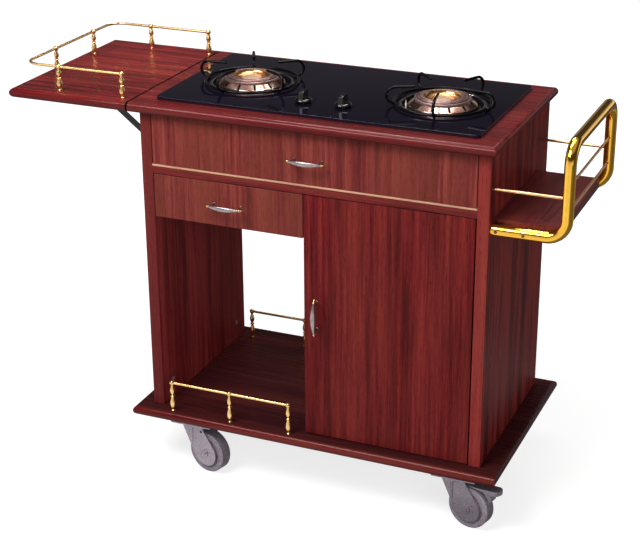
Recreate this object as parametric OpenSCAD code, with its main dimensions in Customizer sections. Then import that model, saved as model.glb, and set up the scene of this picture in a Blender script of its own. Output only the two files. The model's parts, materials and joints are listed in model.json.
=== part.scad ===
// Flambe trolley: a laminate cabinet on four castors with a two burner gas hob,
// a folding leaf with a brass gallery, two drawers, a cupboard and a side bottle rack.
// The row frame has its origin on the floor under the middle of the whole outline,
// +X towards the bottle rack, +Y towards the back and +Z up.
// Cabinet coordinates, used inside on_cabinet(), start at the left front corner of
// the cabinet on top of the base board.

/* [Cabinet] */
// Width over the two end panels
cabinet_w = 800; // [760:5:900]
// Depth of the end panels
cabinet_d = 440; // [425:5:520]
// Height of the end panels
panel_h = 716; // [660:2:800]
// Thickness of the end panels
panel_t = 26; // [18:1:30]
// Thickness of the divider between the open side and the cupboard
divider_t = 18; // [15:1:22]
// Clear width of the open compartment
open_w = 364; // [320:2:400]
// Thickness of the back panel
back_t = 6; // [4:1:9]
// Gap round the drawer fronts
front_gap = 2; // [1.5:0.5:4]

/* [Base board] */
// Thickness of the base board
base_t = 24; // [20:1:30]
// Overhang of the base board at the front
base_over_front = 35; // [30:1:60]
// Overhang of the base board on the left
base_over_left = 39; // [20:1:60]
// Overhang of the base board on the right
base_over_right = 46; // [20:1:60]
// Overhang of the base board at the back
base_over_back = 35; // [10:1:60]

/* [Worktop] */
// Thickness of the worktop and of the leaf
worktop_t = 22; // [18:1:28]
// Overhang of the worktop at the front
worktop_over_front = 24; // [10:1:34]
// Overhang of the worktop on the left, up to the leaf joint
worktop_over_left = 20; // [18:1:30]
// Overhang of the worktop on the right
worktop_over_right = 16; // [8:1:40]
// Overhang of the worktop at the back
worktop_over_back = 8; // [4:1:40]

/* [Folding leaf] */
// Length of the leaf
leaf_len = 298; // [250:2:400]
// Gap between leaf and worktop
leaf_gap = 0.6; // [0.4:0.1:2]
// Length of each leaf hinge
hinge_len = 60; // [40:5:80]
// Diameter of the hinge knuckle
knuckle_d = 6.5; // [6:0.5:8]
// Diameter of the hinge pin
hinge_pin_d = 3; // [2:0.5:4]
// Thickness of the hinge plates
hinge_plate_t = 1.5; // [1:0.5:2]
// Distance of each folding bracket from the front and back of the cabinet
bracket_inset = 50; // [40:5:120]
// Height of the lower bracket pivot under the worktop
bracket_drop = 73; // [65:1:90]
// Distance of the roller from the cabinet side with the leaf up
bracket_reach = 93; // [85:1:110]
// Width of the folding brace
brace_w = 13; // [8:0.5:13]
// Thickness of the folding brace
brace_t = 4; // [3:0.5:6]

/* [Drawers and door] */
// Height from the drawer rail's underside to the top of the end panels
upper_bay_h = 140; // [120:2:160]
// Thickness of the drawer rail
rail_t = 17.5; // [12:0.5:22]
// Height of the brass strip under the upper drawer
strip_h = 3; // [2:0.5:8]
// Thickness of the drawer fronts and of the door
front_t = 18; // [15:1:22]
// Height of the lower drawer front
lower_front_h = 100; // [90:2:140]
// Clear depth between the drawer boxes and the back panel
box_clear = 34; // [32:1:60]
// Clear height between the upper drawer box and the hob's tray
box_tray_gap = 10; // [6:1:30]
// Height of the lower drawer box
lower_box_h = 76; // [50:1:80]
// Thickness of the drawer box sides
box_side_t = 15; // [12:1:18]
// Thickness of the drawer bottoms
box_bottom_t = 6; // [4:1:9]
// Height of the runner bars
runner_h = 11; // [8:1:16]
// How far a runner bar enters the drawer side
runner_in = 7; // [5:0.5:9]
// Gap between door and end panel
door_gap = 3; // [3:0.5:5]
// Distance of the door pivot from the door's front face and edge
pivot_inset = 5; // [4.5:0.5:6]
// Diameter of the door pivots
pivot_d = 4; // [3:0.5:5]
// Distance between the posts of a bow handle
handle_centres = 64; // [48:16:96]
// Overhang of a bow handle past its posts
handle_tip = 14; // [8:1:20]
// Diameter of a bow handle
handle_d = 8; // [6:1:12]
// How far a bow handle stands off at its middle
handle_reach = 27; // [22:1:36]

/* [Galleries] */
// Height of the leaf gallery
leaf_gallery_h = 60; // [50:1:80]
// Height of the deck galleries
deck_gallery_h = 78; // [60:1:100]
// Diameter of the gallery rods
gallery_rod_d = 6; // [4:1:8]
// Diameter of the ball on each baluster
ball_d = 12; // [10:1:16]
// Corner radius of the leaf gallery
gallery_corner_r = 35; // [20:1:60]
// Distance of the leaf gallery from the leaf's outer edge
gallery_inset = 28; // [10:1:60]

/* [Bottle rack] */
// How far the rack's tube stands out from the cabinet
rack_reach = 156.5; // [120:0.5:200]
// Diameter of the rack's tube
rack_tube_d = 25; // [18:1:28]
// Wall of the rack's tube
rack_tube_wall = 1.5; // [1:0.5:3]
// Bend radius of the rack's tube
rack_bend_r = 42; // [30:1:50]
// Depth of the rack's lower runs under the top of the end panels
rack_low_drop = 166; // [140:2:200]
// Height of the push handle over the top of the end panels
rack_top_rise = 30; // [10:2:60]
// Distance of the front run from the cabinet front
rack_front_y = 18; // [15:1:40]
// Distance of the rear run from the cabinet front
rack_back_y = 366; // [330:2:400]
// Thickness of the rack's shelf
rack_shelf_t = 22; // [16:1:26]
// Diameter of the thin guard rods
rack_rod_d = 6; // [5:1:8]

/* [Hob] */
// Thickness of the hob glass
glass_t = 7; // [5:0.5:10]
// Distance of the glass from the cabinet's left side
glass_x = 28; // [20:1:40]
// Distance of the glass from the cabinet's right side
glass_right = 33; // [20:1:40]
// Distance of the glass from the cabinet's front
glass_y = 22; // [15:1:30]
// Distance of the glass from the cabinet's back
glass_back = 38; // [30:1:50]
// Corner radius of the hob glass
glass_r = 12; // [4:1:30]
// Depth of the steel tray under the glass
tray_h = 56; // [50:1:60]
// Thickness of the tray's sheet
tray_t = 1.5; // [1:0.5:2]
// Distance of the left burner from the glass's left end
burner_in_left = 149; // [135:1:160]
// Distance of the right burner from the glass's right end
burner_in_right = 140; // [130:1:160]
// Distance of the burners from the cabinet front
burner_y = 203; // [195:1:215]
// Radius of the drip pan's rim
pan_r = 94; // [90:1:98]
// Radius of the burner skirt
skirt_r = 75; // [70:1:77]
// Radius of the pan support's ring
support_ring_r = 104; // [102:1:106]
// Height of the pan support
support_h = 43; // [40:1:60]
// Diameter of the pan support's wire
wire_d = 6.4; // [5:0.2:8]
// Radius of the circle at the tips of the pan support
support_tip_r = 62; // [45:1:75]
// Number of arms on a pan support
support_arms = 5; // [4:1:6]
// Turn of the left pan support's first arm
support_turn_left = 41; // [0:1:72]
// Turn of the right pan support's first arm
support_turn_right = 63; // [0:1:72]
// Distance between the knobs
knob_gap = 92; // [80:1:140]
// Distance of the knobs from the cabinet front
knob_y = 103; // [95:1:110]
// Diameter of a knob's skirt
knob_d = 38; // [30:1:44]
// Height of a knob
knob_h = 24; // [18:1:30]
// Push travel of a knob
knob_travel = 3; // [2:0.5:4]
// Diameter of a valve stem
stem_d = 8; // [6:1:10]

/* [Castors] */
// Height from the floor to the base board
castor_h = 125; // [122:1:140]
// Wheel diameter
wheel_d = 100; // [90:1:100]
// Tyre width
tyre_w = 32; // [25:1:34]
// Distance of the wheel behind the swivel axis
castor_trail = 36; // [30:1:40]
// Turn of the front castors at rest
castor_turn_front = -14; // [-40:1:40]
// Turn of the rear castors at rest
castor_turn_rear = 168; // [140:1:220]
// Distance of the left swivels from the base board's left edge
castor_inset_left = 146; // [80:1:160]
// Distance of the right swivels from the base board's right edge
castor_inset_right = 98; // [80:1:160]
// Distance of the swivels from the base board's front and back edges
castor_inset_y = 48; // [45:1:80]
// Diameter of the king pins
king_pin_d = 12; // [10:1:14]
// Diameter of the wheel axles
axle_d = 8; // [8:1:12]

/* [Hidden] */
$fn = 48;
eps = 0.01;

wood = "#6b2426";
brass_c = "#d9a441";
steel_c = "#b9bcc0";
black_c = "#1b1a1e";
grey_c = "#8f8a90";

// Radial clearance of every pin in its bore, and of a rod in its socket
pin_play = 0.05;
// Gap between sliding or turning faces
run_gap = 0.3;

// Outline and frame
leaf_reach = worktop_over_left + leaf_gap + leaf_len;
rack_out = rack_reach + rack_tube_d / 2;
cabinet_x = (leaf_reach - cabinet_w - rack_out) / 2;
cabinet_y = (base_over_front - base_over_back - cabinet_d) / 2;
deck_z = castor_h + base_t;

// Cabinet coordinates
rail_z = panel_h - upper_bay_h;
rack_low_z = panel_h - rack_low_drop;
rack_top_z = panel_h + rack_top_rise;
glass_w = cabinet_w - glass_x - glass_right;
glass_d = cabinet_d - glass_y - glass_back;
worktop_z = panel_h;
glass_z = worktop_z + worktop_t;
hob_z = glass_z + glass_t;
divider_x = panel_t + open_w;
cup_x = divider_x + divider_t;
inner_r = cabinet_w - panel_t;
back_y = cabinet_d - back_t;
box_d = back_y - front_t - box_clear;
strip_z = rail_z + rail_t;
upper_front_z = strip_z + strip_h + front_gap / 2;
upper_front_h = panel_h - front_gap - upper_front_z;
lower_front_z = rail_z - front_gap - lower_front_h;
door_x = divider_x - front_gap;
door_r = inner_r - door_gap;
door_z = 3;
door_h = rail_z - front_gap - door_z;
pivot_x = door_r - pivot_inset;
box_lift = 5;
upper_box_z = upper_front_z + box_lift;
upper_box_h = glass_z - tray_h - box_tray_gap - upper_box_z;
lower_box_z = lower_front_z + box_lift;
box_play = 2;
box_wall_back_t = 12;
strip_proud = 1;
top_rail_w = 22;
top_rail_h = 18;

// One flat piece from a low corner to a high corner
module block(a, b) {
    translate(a) cube([b[0] - a[0], b[1] - a[1], b[2] - a[2]]);
}

// Outline of a board's edge, rounded at its near and far side
module edge_outline(len, t, near, far) {
    x0 = near ? t / 2 : 0;
    x1 = far ? len - t / 2 : len;
    translate([x0, 0]) square([x1 - x0, t]);
    if (near) translate([t / 2, t / 2]) circle(d = t);
    if (far) translate([len - t / 2, t / 2]) circle(d = t);
}

// A board with half round edges, mitred at the corners
module edged_board(w, d, t, left = true, right = true) {
    intersection() {
        rotate([90, 0, 90]) linear_extrude(w) edge_outline(d, t, true, true);
        translate([0, d, 0]) rotate([90, 0, 0]) linear_extrude(d) edge_outline(w, t, left, right);
    }
}

module on_cabinet() {
    translate([cabinet_x, cabinet_y, deck_z]) children();
}

// A cylinder between two heights on the Z axis
module rod_z(x, y, z0, z1, d) {
    translate([x, y, z0]) cylinder(d = d, h = z1 - z0);
}

module rod_x(x0, x1, y, z, d) {
    translate([x0, y, z]) rotate([0, 90, 0]) cylinder(d = d, h = x1 - x0);
}

module rod_y(x, y0, y1, z, d) {
    translate([x, y0, z]) rotate([-90, 0, 0]) cylinder(d = d, h = y1 - y0);
}

// Cabinet carcase
module base_board() {
    color(wood) on_cabinet() translate([-base_over_left, -base_over_front, -base_t])
        difference() {
            edged_board(cabinet_w + base_over_left + base_over_right,
                cabinet_d + base_over_front + base_over_back, base_t);
            translate([base_over_left + pivot_x, base_over_front + pivot_inset, base_t - pivot_depth])
                cylinder(d = pivot_d, h = pivot_depth + 1);
            translate([base_over_left - cabinet_x, base_over_front - cabinet_y, base_t - deck_z])
                castor_screw_spots(castor_h - 1) cylinder(d = castor_screw_d, h = castor_screw_in + 1);
        }
}

module end_panel_left() {
    color(wood) on_cabinet() block([0, 0, 0], [panel_t, cabinet_d, panel_h]);
}

module end_panel_right() {
    color(wood) on_cabinet() block([inner_r, 0, 0], [cabinet_w, cabinet_d, panel_h]);
}

module divider_panel() {
    color(wood) on_cabinet()
        block([divider_x, front_t + front_gap, 0], [cup_x, back_y, rail_z]);
}

pivot_depth = 10;

module drawer_rail() {
    color(wood) on_cabinet() difference() {
        block([panel_t, 0, rail_z], [inner_r, back_y - hose_way, strip_z]);
        translate([pivot_x, pivot_inset, rail_z - 1]) cylinder(d = pivot_d, h = pivot_depth + 1);
    }
}

// Clear depth behind the drawer rail, where the gas hose goes down
hose_way = 30;

// The rear rail is notched for the gas hose
module top_rails() {
    color(wood) on_cabinet() {
        y0 = front_t + front_gap;
        block([panel_t, y0, panel_h - top_rail_h], [inner_r, y0 + top_rail_w, panel_h]);
        difference() {
            block([panel_t, back_y - top_rail_w, panel_h - top_rail_h], [inner_r, back_y, panel_h]);
            block([inlet_x - hose_way / 2, back_y - top_rail_w - 1, panel_h - top_rail_h - 1],
                [inlet_x + hose_way / 2, back_y + 1, panel_h - 5]);
        }
    }
}

// The back closes the drawers and the cupboard and leaves the left side open.
// The gas hose goes onto its spigot through the round hole.
hose_hole_d = 36;

module back_panel() {
    color(wood) on_cabinet() difference() {
        union() {
            block([panel_t, back_y, lower_front_z], [inner_r, cabinet_d, panel_h]);
            block([divider_x, back_y, 0], [inner_r, cabinet_d, lower_front_z + eps]);
        }
        rod_y(inlet_x, back_y - 1, cabinet_d + 1, gas_pipe_z, hose_hole_d);
    }
}

// The glass overhangs the tray by this much at each end, and at the front and back
glass_over_x = 24.5;
glass_over_y = 22.5;
tray_w = glass_w - 2 * glass_over_x;
tray_d = glass_d - 2 * glass_over_y;
tray_x = glass_x + (glass_w - tray_w) / 2;
tray_y = glass_y + (glass_d - tray_d) / 2;
cutout_play = 3;

module worktop() {
    w = cabinet_w + worktop_over_left + worktop_over_right;
    d = cabinet_d + worktop_over_front + worktop_over_back;
    color(wood) on_cabinet() difference() {
        translate([-worktop_over_left, -worktop_over_front, worktop_z])
            edged_board(w, d, worktop_t, left = false);
        block([tray_x - cutout_play, tray_y - cutout_play, worktop_z - 1],
            [tray_x + tray_w + cutout_play, tray_y + tray_d + cutout_play, glass_z + 1]);
    }
}

module gold_strip() {
    color(brass_c) on_cabinet()
        block([panel_t, -strip_proud, strip_z], [inner_r, front_t - 4, strip_z + strip_h]);
}

// Bow handle along X, with its posts' feet at y = 0 and the bow towards -Y
handle_sag = 7;
tip_cone = 9;
handle_half = handle_centres / 2 + handle_tip - tip_cone;
bow_r = (handle_half * handle_half + handle_sag * handle_sag) / (2 * handle_sag);
bow_angle = asin(handle_half / bow_r);
post_d = 6;
collar_w = 3;

module bow_handle() {
    post_angle = asin(handle_centres / 2 / bow_r);
    post_reach = handle_reach - bow_r * (1 - cos(post_angle));
    color(steel_c) {
        translate([0, bow_r - handle_reach, 0]) {
            rotate([0, 0, -90 - bow_angle])
                rotate_extrude(angle = 2 * bow_angle) translate([bow_r, 0]) circle(d = handle_d);
            for (s = [-1, 1]) rotate([0, 0, s * bow_angle]) translate([0, -bow_r, 0])
                rotate([0, s * 90, 0]) {
                    translate([0, 0, -collar_w / 2]) cylinder(d = handle_d + 1, h = collar_w);
                    cylinder(d1 = handle_d, d2 = 2, h = tip_cone);
                }
        }
        for (s = [-1, 1]) rod_y(s * handle_centres / 2, -post_reach, 0, 0, post_d);
    }
}

handle_x = (panel_t + inner_r) / 2;
upper_handle_z = upper_front_z + upper_front_h * 0.47;
lower_handle_x = panel_t + open_w / 2;
lower_handle_z = lower_front_z + lower_front_h / 2;
door_handle_x = door_x + 31;
door_handle_z = door_z + door_h * 0.516;

module upper_drawer_front() {
    color(wood) on_cabinet() block([panel_t + front_gap, 0, upper_front_z],
        [inner_r - front_gap, front_t, upper_front_z + upper_front_h]);
}

module lower_drawer_front() {
    color(wood) on_cabinet() block([panel_t + front_gap, 0, lower_front_z],
        [divider_x - front_gap * 2, front_t, lower_front_z + lower_front_h]);
}

module upper_drawer_handle() {
    on_cabinet() translate([handle_x, 0, upper_handle_z]) bow_handle();
}

module lower_drawer_handle() {
    on_cabinet() translate([lower_handle_x, 0, lower_handle_z]) bow_handle();
}

// Open box of five boards with a runner groove outside each side, parted by glue lines
runner_play = 0.3;
glue_t = 0.1;

function runner_z(box_z, box_h) = box_z + box_h / 2;

module drawer_box(x0, x1, z0, h) {
    y0 = front_t;
    y1 = front_t + box_d;
    gz = runner_z(z0, h);
    in0 = x0 + box_side_t + glue_t;
    in1 = x1 - box_side_t - glue_t;
    for (y = [y0, y1 - box_wall_back_t]) block([in0, y, z0], [in1, y + box_wall_back_t, z0 + h]);
    block([in0, y0 + box_wall_back_t + glue_t, z0], [in1, y1 - box_wall_back_t - glue_t, z0 + box_bottom_t]);
    difference() {
        for (x = [x0, x1 - box_side_t]) block([x, y0, z0], [x + box_side_t, y1, z0 + h]);
        for (x = [[x0 - 1, x0 + runner_in + runner_play], [x1 - runner_in - runner_play, x1 + 1]])
            block([x[0], y0 - 1, gz - runner_h / 2 - runner_play],
                [x[1], y1 + 1, gz + runner_h / 2 + runner_play]);
    }
}

module upper_drawer_box() {
    color("#c9a679") on_cabinet()
        drawer_box(panel_t + box_play, inner_r - box_play, upper_box_z, upper_box_h);
}

module lower_drawer_box() {
    color("#c9a679") on_cabinet()
        drawer_box(panel_t + box_play, divider_x - box_play, lower_box_z, lower_box_h);
}

// Runner bars fixed to the panels beside each drawer
module runner_pair(x0, x1, z) {
    y0 = front_t + front_gap * 2;
    y1 = back_y - 2;
    out = box_play + runner_in;
    block([x0, y0, z - runner_h / 2], [x0 + out, y1, z + runner_h / 2]);
    block([x1 - out, y0, z - runner_h / 2], [x1, y1, z + runner_h / 2]);
}

module drawer_runners() {
    color(steel_c) on_cabinet() {
        runner_pair(panel_t, inner_r, runner_z(upper_box_z, upper_box_h));
        runner_pair(panel_t, divider_x, runner_z(lower_box_z, lower_box_h));
    }
}

// Door on two pivot pins, one let into the base board and one into the drawer rail
module door() {
    color(wood) on_cabinet() difference() {
        block([door_x, 0, door_z], [door_r, front_t, door_z + door_h]);
        rod_z(pivot_x, pivot_inset, door_z - 1, door_z + pivot_depth, pivot_d + 2 * pin_play);
        rod_z(pivot_x, pivot_inset, door_z + door_h - pivot_depth, door_z + door_h + 1,
            pivot_d + 2 * pin_play);
    }
}

module door_pivots() {
    color(steel_c) on_cabinet() {
        rod_z(pivot_x, pivot_inset, -pivot_depth, door_z + pivot_depth - 1, pivot_d);
        rod_z(pivot_x, pivot_inset, door_z + door_h - pivot_depth + 1, rail_z + pivot_depth, pivot_d);
    }
}

module door_handle() {
    on_cabinet() translate([door_handle_x, 0, door_handle_z]) rotate([0, 90, 0]) bow_handle();
}

// Magnet catch on the cupboard side of the divider
catch_l = 40;
catch_t = 12;

module door_catch() {
    color("#e8e4dc") on_cabinet()
        block([cup_x, front_t + run_gap, door_handle_z - catch_l / 2],
            [cup_x + catch_t, front_t + run_gap + 20, door_handle_z + catch_l / 2]);
}

// Leaf, hinges and folding brackets
hinge_x = -worktop_over_left - leaf_gap / 2;
hinge_z = worktop_z - knuckle_d / 2 - 0.25;
leaf_x = -leaf_reach;
board_y = -worktop_over_front;
board_d = cabinet_d + worktop_over_front + worktop_over_back;
hinge_spots = [cabinet_d * 0.27, cabinet_d * 0.73];

module leaf_board() {
    color(wood) on_cabinet() translate([leaf_x, board_y, worktop_z])
        edged_board(leaf_len, board_d, worktop_t, right = false);
}

// One hinge leaf: a plate under the board with its share of the knuckle.
// side is 1 for the worktop and -1 for the leaf, ends is true for the outer thirds.
module hinge_leaf(side, ends, plate_w) {
    third = hinge_len / 3;
    clear_r = knuckle_d / 2 + run_gap;
    pieces = ends ? [0, 2] : [1];
    for (y0 = hinge_spots) difference() {
        union() {
            for (i = [0, 1, 2]) {
                owned = len(search(i, pieces)) > 0;
                x0 = owned ? 0 : clear_r;
                y = y0 - hinge_len / 2 + i * third;
                block([min(side * x0, side * plate_w), y, worktop_z - hinge_plate_t],
                    [max(side * x0, side * plate_w), y + third, worktop_z]);
            }
            for (i = pieces)
                rod_y(0, y0 - hinge_len / 2 + i * third + run_gap / 2,
                    y0 - hinge_len / 2 + (i + 1) * third - run_gap / 2, hinge_z, knuckle_d);
        }
        rod_y(0, y0 - hinge_len, y0 + hinge_len, hinge_z, hinge_pin_d + 2 * pin_play);
    }
}

module leaf_hinge_fixed() {
    color(brass_c) on_cabinet() translate([hinge_x, 0, 0]) {
        hinge_leaf(1, true, worktop_over_left - 1);
        for (y0 = hinge_spots)
            rod_y(0, y0 - hinge_len / 2 + run_gap, y0 + hinge_len / 2 - run_gap, hinge_z, hinge_pin_d);
    }
}

hinge_plate_w = 30;

module leaf_hinge_moving() {
    color(brass_c) on_cabinet() translate([hinge_x, 0, 0]) hinge_leaf(-1, false, hinge_plate_w);
}

// Folding brackets: a wall plate with a pivot, a brace and an open guide under the leaf
pivot_out = 9;
roller_d = 10;
roller_w = 12;
guide_t = 2;
brace_x = -pivot_out;
brace_z = worktop_z - bracket_drop;
roller_x = -bracket_reach;
roller_z = worktop_z - guide_t - roller_d / 2 - run_gap;
brace_len = sqrt(pow(roller_x - brace_x, 2) + pow(roller_z - brace_z, 2));
brace_angle = atan2(roller_z - brace_z, roller_x - brace_x);
brace_pin_d = 5;
lug_t = 3;
lug_r = 5.2;
plate_h = 50;
plate_t = 3;
side_step = 0.5;

// Everything of a bracket lies beside the brace, on its inner side
module both_brackets() {
    translate([0, bracket_inset, 0]) children();
    translate([0, cabinet_d - bracket_inset, 0]) mirror([0, 1, 0]) children();
}

module brace_plates() {
    y0 = brace_t / 2 + side_step;
    color(black_c) on_cabinet() both_brackets() {
        block([-plate_t, y0, brace_z - plate_h / 2], [0, y0 + 18, brace_z + plate_h / 2]);
        block([brace_x, y0, brace_z - lug_r], [-plate_t + eps, y0 + lug_t, brace_z + lug_r]);
        rod_y(brace_x, y0, y0 + lug_t, brace_z, 2 * lug_r);
        rod_y(brace_x, -brace_t / 2 - side_step - 1.5, y0 + eps, brace_z, brace_pin_d);
        rod_y(brace_x, -brace_t / 2 - side_step - 1.5, -brace_t / 2 - side_step, brace_z, 9);
    }
}

module leaf_braces() {
    color(black_c) on_cabinet() both_brackets() translate([brace_x, 0, brace_z])
        rotate([0, -brace_angle, 0]) {
            difference() {
                union() {
                    block([0, -brace_t / 2, -brace_w / 2], [brace_len, brace_t / 2, brace_w / 2]);
                    rod_y(0, -brace_t / 2, brace_t / 2, 0, brace_w);
                    rod_y(brace_len, -brace_t / 2, brace_t / 2, 0, brace_w);
                    rod_y(brace_len, 0, brace_t / 2 + roller_w, 0, roller_d);
                }
                rod_y(0, -brace_t, brace_t, 0, brace_pin_d + 2 * pin_play);
            }
        }
}

// Roller travel along the leaf, counted from the hinge axis
guide_from = bracket_reach + hinge_x - 10;
roller_drop = hinge_z - roller_z;
fold_gap_x = hinge_x + roller_drop - brace_x;
guide_to = hinge_z - brace_z + sqrt(brace_len * brace_len - fold_gap_x * fold_gap_x) + 12;
flange_h = 10;

module brace_guides() {
    y0 = brace_t / 2 + 1;
    y1 = y0 + roller_w + 4;
    color(black_c) on_cabinet() both_brackets() {
        block([hinge_x - guide_to, y0, worktop_z - guide_t], [hinge_x - guide_from, y1, worktop_z]);
        block([hinge_x - guide_to, y1 - guide_t, worktop_z - flange_h],
            [hinge_x - guide_from, y1, worktop_z]);
    }
}

// Galleries: turned balusters with a ball that the rod passes through
function vase(h, z0, z1, r0, r1, n) =
    [for (i = [0:n]) let (t = i / n) [r0 + (r1 - r0) * pow(sin(180 * pow(t, 0.8)), 1.3),
        h * (z0 + (z1 - z0) * t)]];

module baluster(h) {
    stem_h = h - ball_d / 2;
    outline = concat([[0, 0], [4.6, 0], [4.6, 1.5]],
        vase(stem_h, 0.04, 0.50, 3.2, 6.8, 12),
        [[5.2, stem_h * 0.51], [5.2, stem_h * 0.53]],
        vase(stem_h, 0.54, 0.92, 2.6, 5.8, 12), [[2.6, stem_h], [0, stem_h]]);
    rotate_extrude() polygon(outline);
    translate([0, 0, stem_h]) sphere(d = ball_d);
}

gallery_front_y = 6;
gallery_back_in = 38;
gallery_back_y = cabinet_d - gallery_back_in;
gallery_left_x = leaf_x + gallery_inset;
// Posts along the leaf, counted from the joint with the worktop, and along its outer edge
front_post_in = 23;
back_post_in = 11;
post_step_front = 159;
post_step_back = 155;
left_post_in = 96;
leaf_end_x = leaf_x + leaf_len;
front_posts = [leaf_end_x - front_post_in, leaf_end_x - front_post_in - post_step_front];
back_posts = [leaf_end_x - back_post_in, leaf_end_x - back_post_in - post_step_back];
left_posts = [gallery_front_y + (gallery_back_y - gallery_front_y) / 3, gallery_back_y - left_post_in];
leaf_rod_z = glass_z + leaf_gallery_h - ball_d / 2;
// A gallery rod stops short of a post's middle by this much
rod_end = 1;

module leaf_gallery_rod(d, play = 0) {
    r = gallery_corner_r;
    f = gallery_front_y;
    b = gallery_back_y;
    x0 = gallery_left_x;
    z = leaf_rod_z;
    rod_x(x0 + r, front_posts[0] + rod_end + play, f, z, d);
    rod_x(x0 + r, back_posts[0] + rod_end + play, b, z, d);
    rod_y(x0, f + r, b - r, z, d);
    translate([x0 + r, f + r, z]) rotate([0, 0, 180])
        rotate_extrude(angle = 90) translate([r, 0]) circle(d = d);
    translate([x0 + r, b - r, z]) rotate([0, 0, 90])
        rotate_extrude(angle = 90) translate([r, 0]) circle(d = d);
}

module leaf_rail() {
    color(brass_c) on_cabinet() leaf_gallery_rod(gallery_rod_d);
}

module leaf_balusters() {
    sd = gallery_rod_d + 2 * pin_play;
    color(brass_c) on_cabinet() {
        for (i = [0, 1]) {
            x = front_posts[i];
            difference() {
                translate([x, gallery_front_y, glass_z]) baluster(leaf_gallery_h);
                rod_x(x - ball_d, i == 0 ? x + rod_end + pin_play : x + ball_d,
                    gallery_front_y, leaf_rod_z, sd);
            }
        }
        for (i = [0, 1]) {
            x = back_posts[i];
            difference() {
                translate([x, gallery_back_y, glass_z]) baluster(leaf_gallery_h);
                rod_x(x - ball_d, i == 0 ? x + rod_end + pin_play : x + ball_d,
                    gallery_back_y, leaf_rod_z, sd);
            }
        }
        for (y = left_posts) difference() {
            translate([gallery_left_x, y, glass_z]) baluster(leaf_gallery_h);
            rod_y(gallery_left_x, y - ball_d, y + ball_d, leaf_rod_z, sd);
        }
    }
}

deck_post_in = 34;
deck_post_end = 36;
deck_front_out = 18;
deck_back_in = 25;
deck_step = (open_w - deck_post_in - deck_post_end) / 2;
deck_posts = [for (i = [0:2]) panel_t + deck_post_in + i * deck_step];
deck_lines = [-deck_front_out, cabinet_d - deck_back_in];
deck_rod_z = deck_gallery_h - ball_d / 2;

module deck_rails() {
    color(brass_c) on_cabinet() for (y = deck_lines)
        rod_x(deck_posts[0] - rod_end, deck_posts[2] + rod_end, y, deck_rod_z, gallery_rod_d);
}

module deck_balusters() {
    color(brass_c) on_cabinet() for (y = deck_lines) difference() {
        for (x = deck_posts) translate([x, y, 0]) baluster(deck_gallery_h);
        rod_x(deck_posts[0] - rod_end - pin_play, deck_posts[2] + rod_end + pin_play, y, deck_rod_z,
            gallery_rod_d + 2 * pin_play);
    }
}

// Bottle rack and push handle
tube_x = cabinet_w + rack_reach;
tube_r = rack_tube_d / 2;
shelf_z = rack_low_z - 2;
front_rod_up = 88;
side_rod_up = 57;
front_rod_z = rack_low_z + front_rod_up;
side_rod_zs = [rack_low_z + side_rod_up, rack_low_z + 2 * side_rod_up];

// A quarter bend in the XZ or YZ plane, from its centre
module bend(r, d) {
    rotate_extrude(angle = 90) translate([r, 0]) circle(d = d);
}

// The front half of the tube's route, from the panel up to the push handle
module rack_half(d) {
    r = rack_bend_r;
    rod_x(cabinet_w, tube_x - r, 0, rack_low_z, d);
    translate([tube_x - r, 0, rack_low_z + r]) rotate([90, 0, 0]) rotate([0, 0, -90]) bend(r, d);
    rod_z(tube_x, 0, rack_low_z + r, rack_top_z - r, d);
    translate([tube_x, r, rack_top_z - r]) rotate([90, 0, 90]) rotate([0, 0, 90]) bend(r, d);
}

module rack_route(d) {
    translate([0, rack_front_y, 0]) rack_half(d);
    translate([0, rack_back_y, 0]) mirror([0, 1, 0]) rack_half(d);
    rod_y(tube_x, rack_front_y + rack_bend_r, rack_back_y - rack_bend_r, rack_top_z, d);
}

// Screws through the lower runs into the shelf's edges
rack_screw_in = 12;
rack_screw_step = 58;
rack_screw_xs = [cabinet_w + rack_screw_in, cabinet_w + rack_screw_in + rack_screw_step];
rack_screw_d = 3.5;
rack_screw_len = rack_tube_d + 10;

module rack_screw_spots() {
    for (x = rack_screw_xs, s = [-1, 1])
        translate([x, s < 0 ? rack_front_y - tube_r : rack_back_y + tube_r, rack_low_z])
            rotate([s * 90, 0, 0]) children();
}

module rack_tube() {
    color(brass_c) on_cabinet() difference() {
        rack_route(rack_tube_d);
        rack_route(rack_tube_d - 2 * rack_tube_wall);
        rack_screw_spots() translate([0, 0, -1]) cylinder(d = rack_screw_d, h = rack_screw_len);
    }
}

module rack_shelf() {
    color(wood) on_cabinet() difference() {
        block([cabinet_w, rack_front_y + tube_r, shelf_z],
            [tube_x - tube_r - 2, rack_back_y - tube_r, shelf_z + rack_shelf_t]);
        rack_screw_spots() cylinder(d = rack_screw_d, h = rack_screw_len);
    }
}

module rack_rods() {
    color(brass_c) on_cabinet() difference() {
        union() {
            for (y = [rack_front_y, rack_back_y])
                rod_x(cabinet_w, tube_x, y, front_rod_z, rack_rod_d);
            for (z = side_rod_zs) rod_y(tube_x, rack_front_y, rack_back_y, z, rack_rod_d);
        }
        for (y = [rack_front_y, rack_back_y])
            rod_z(tube_x, y, rack_low_z, rack_top_z, rack_tube_d);
    }
}

// Round headed screw along +Z, head at the bottom
module screw(d, len, head_d, head_h) {
    rotate_extrude() polygon([[0, -head_h], [head_d / 2 - head_h / 2, -head_h], [head_d / 2, 0],
        [d / 2, 0], [d / 2, len], [0, len]]);
}

castor_plate_t = 3;
castor_hole_x = 75;
castor_hole_y = 55;
castor_screw_d = 5;

castor_screw_in = 14;

// Places its children at every hole of every castor plate, at height z
module castor_screw_spots(z) {
    for (p = castors, x = [-1, 1], y = [-1, 1])
        translate([p[0] + x * castor_hole_x / 2, p[1] + y * castor_hole_y / 2, z]) children();
}

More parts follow.
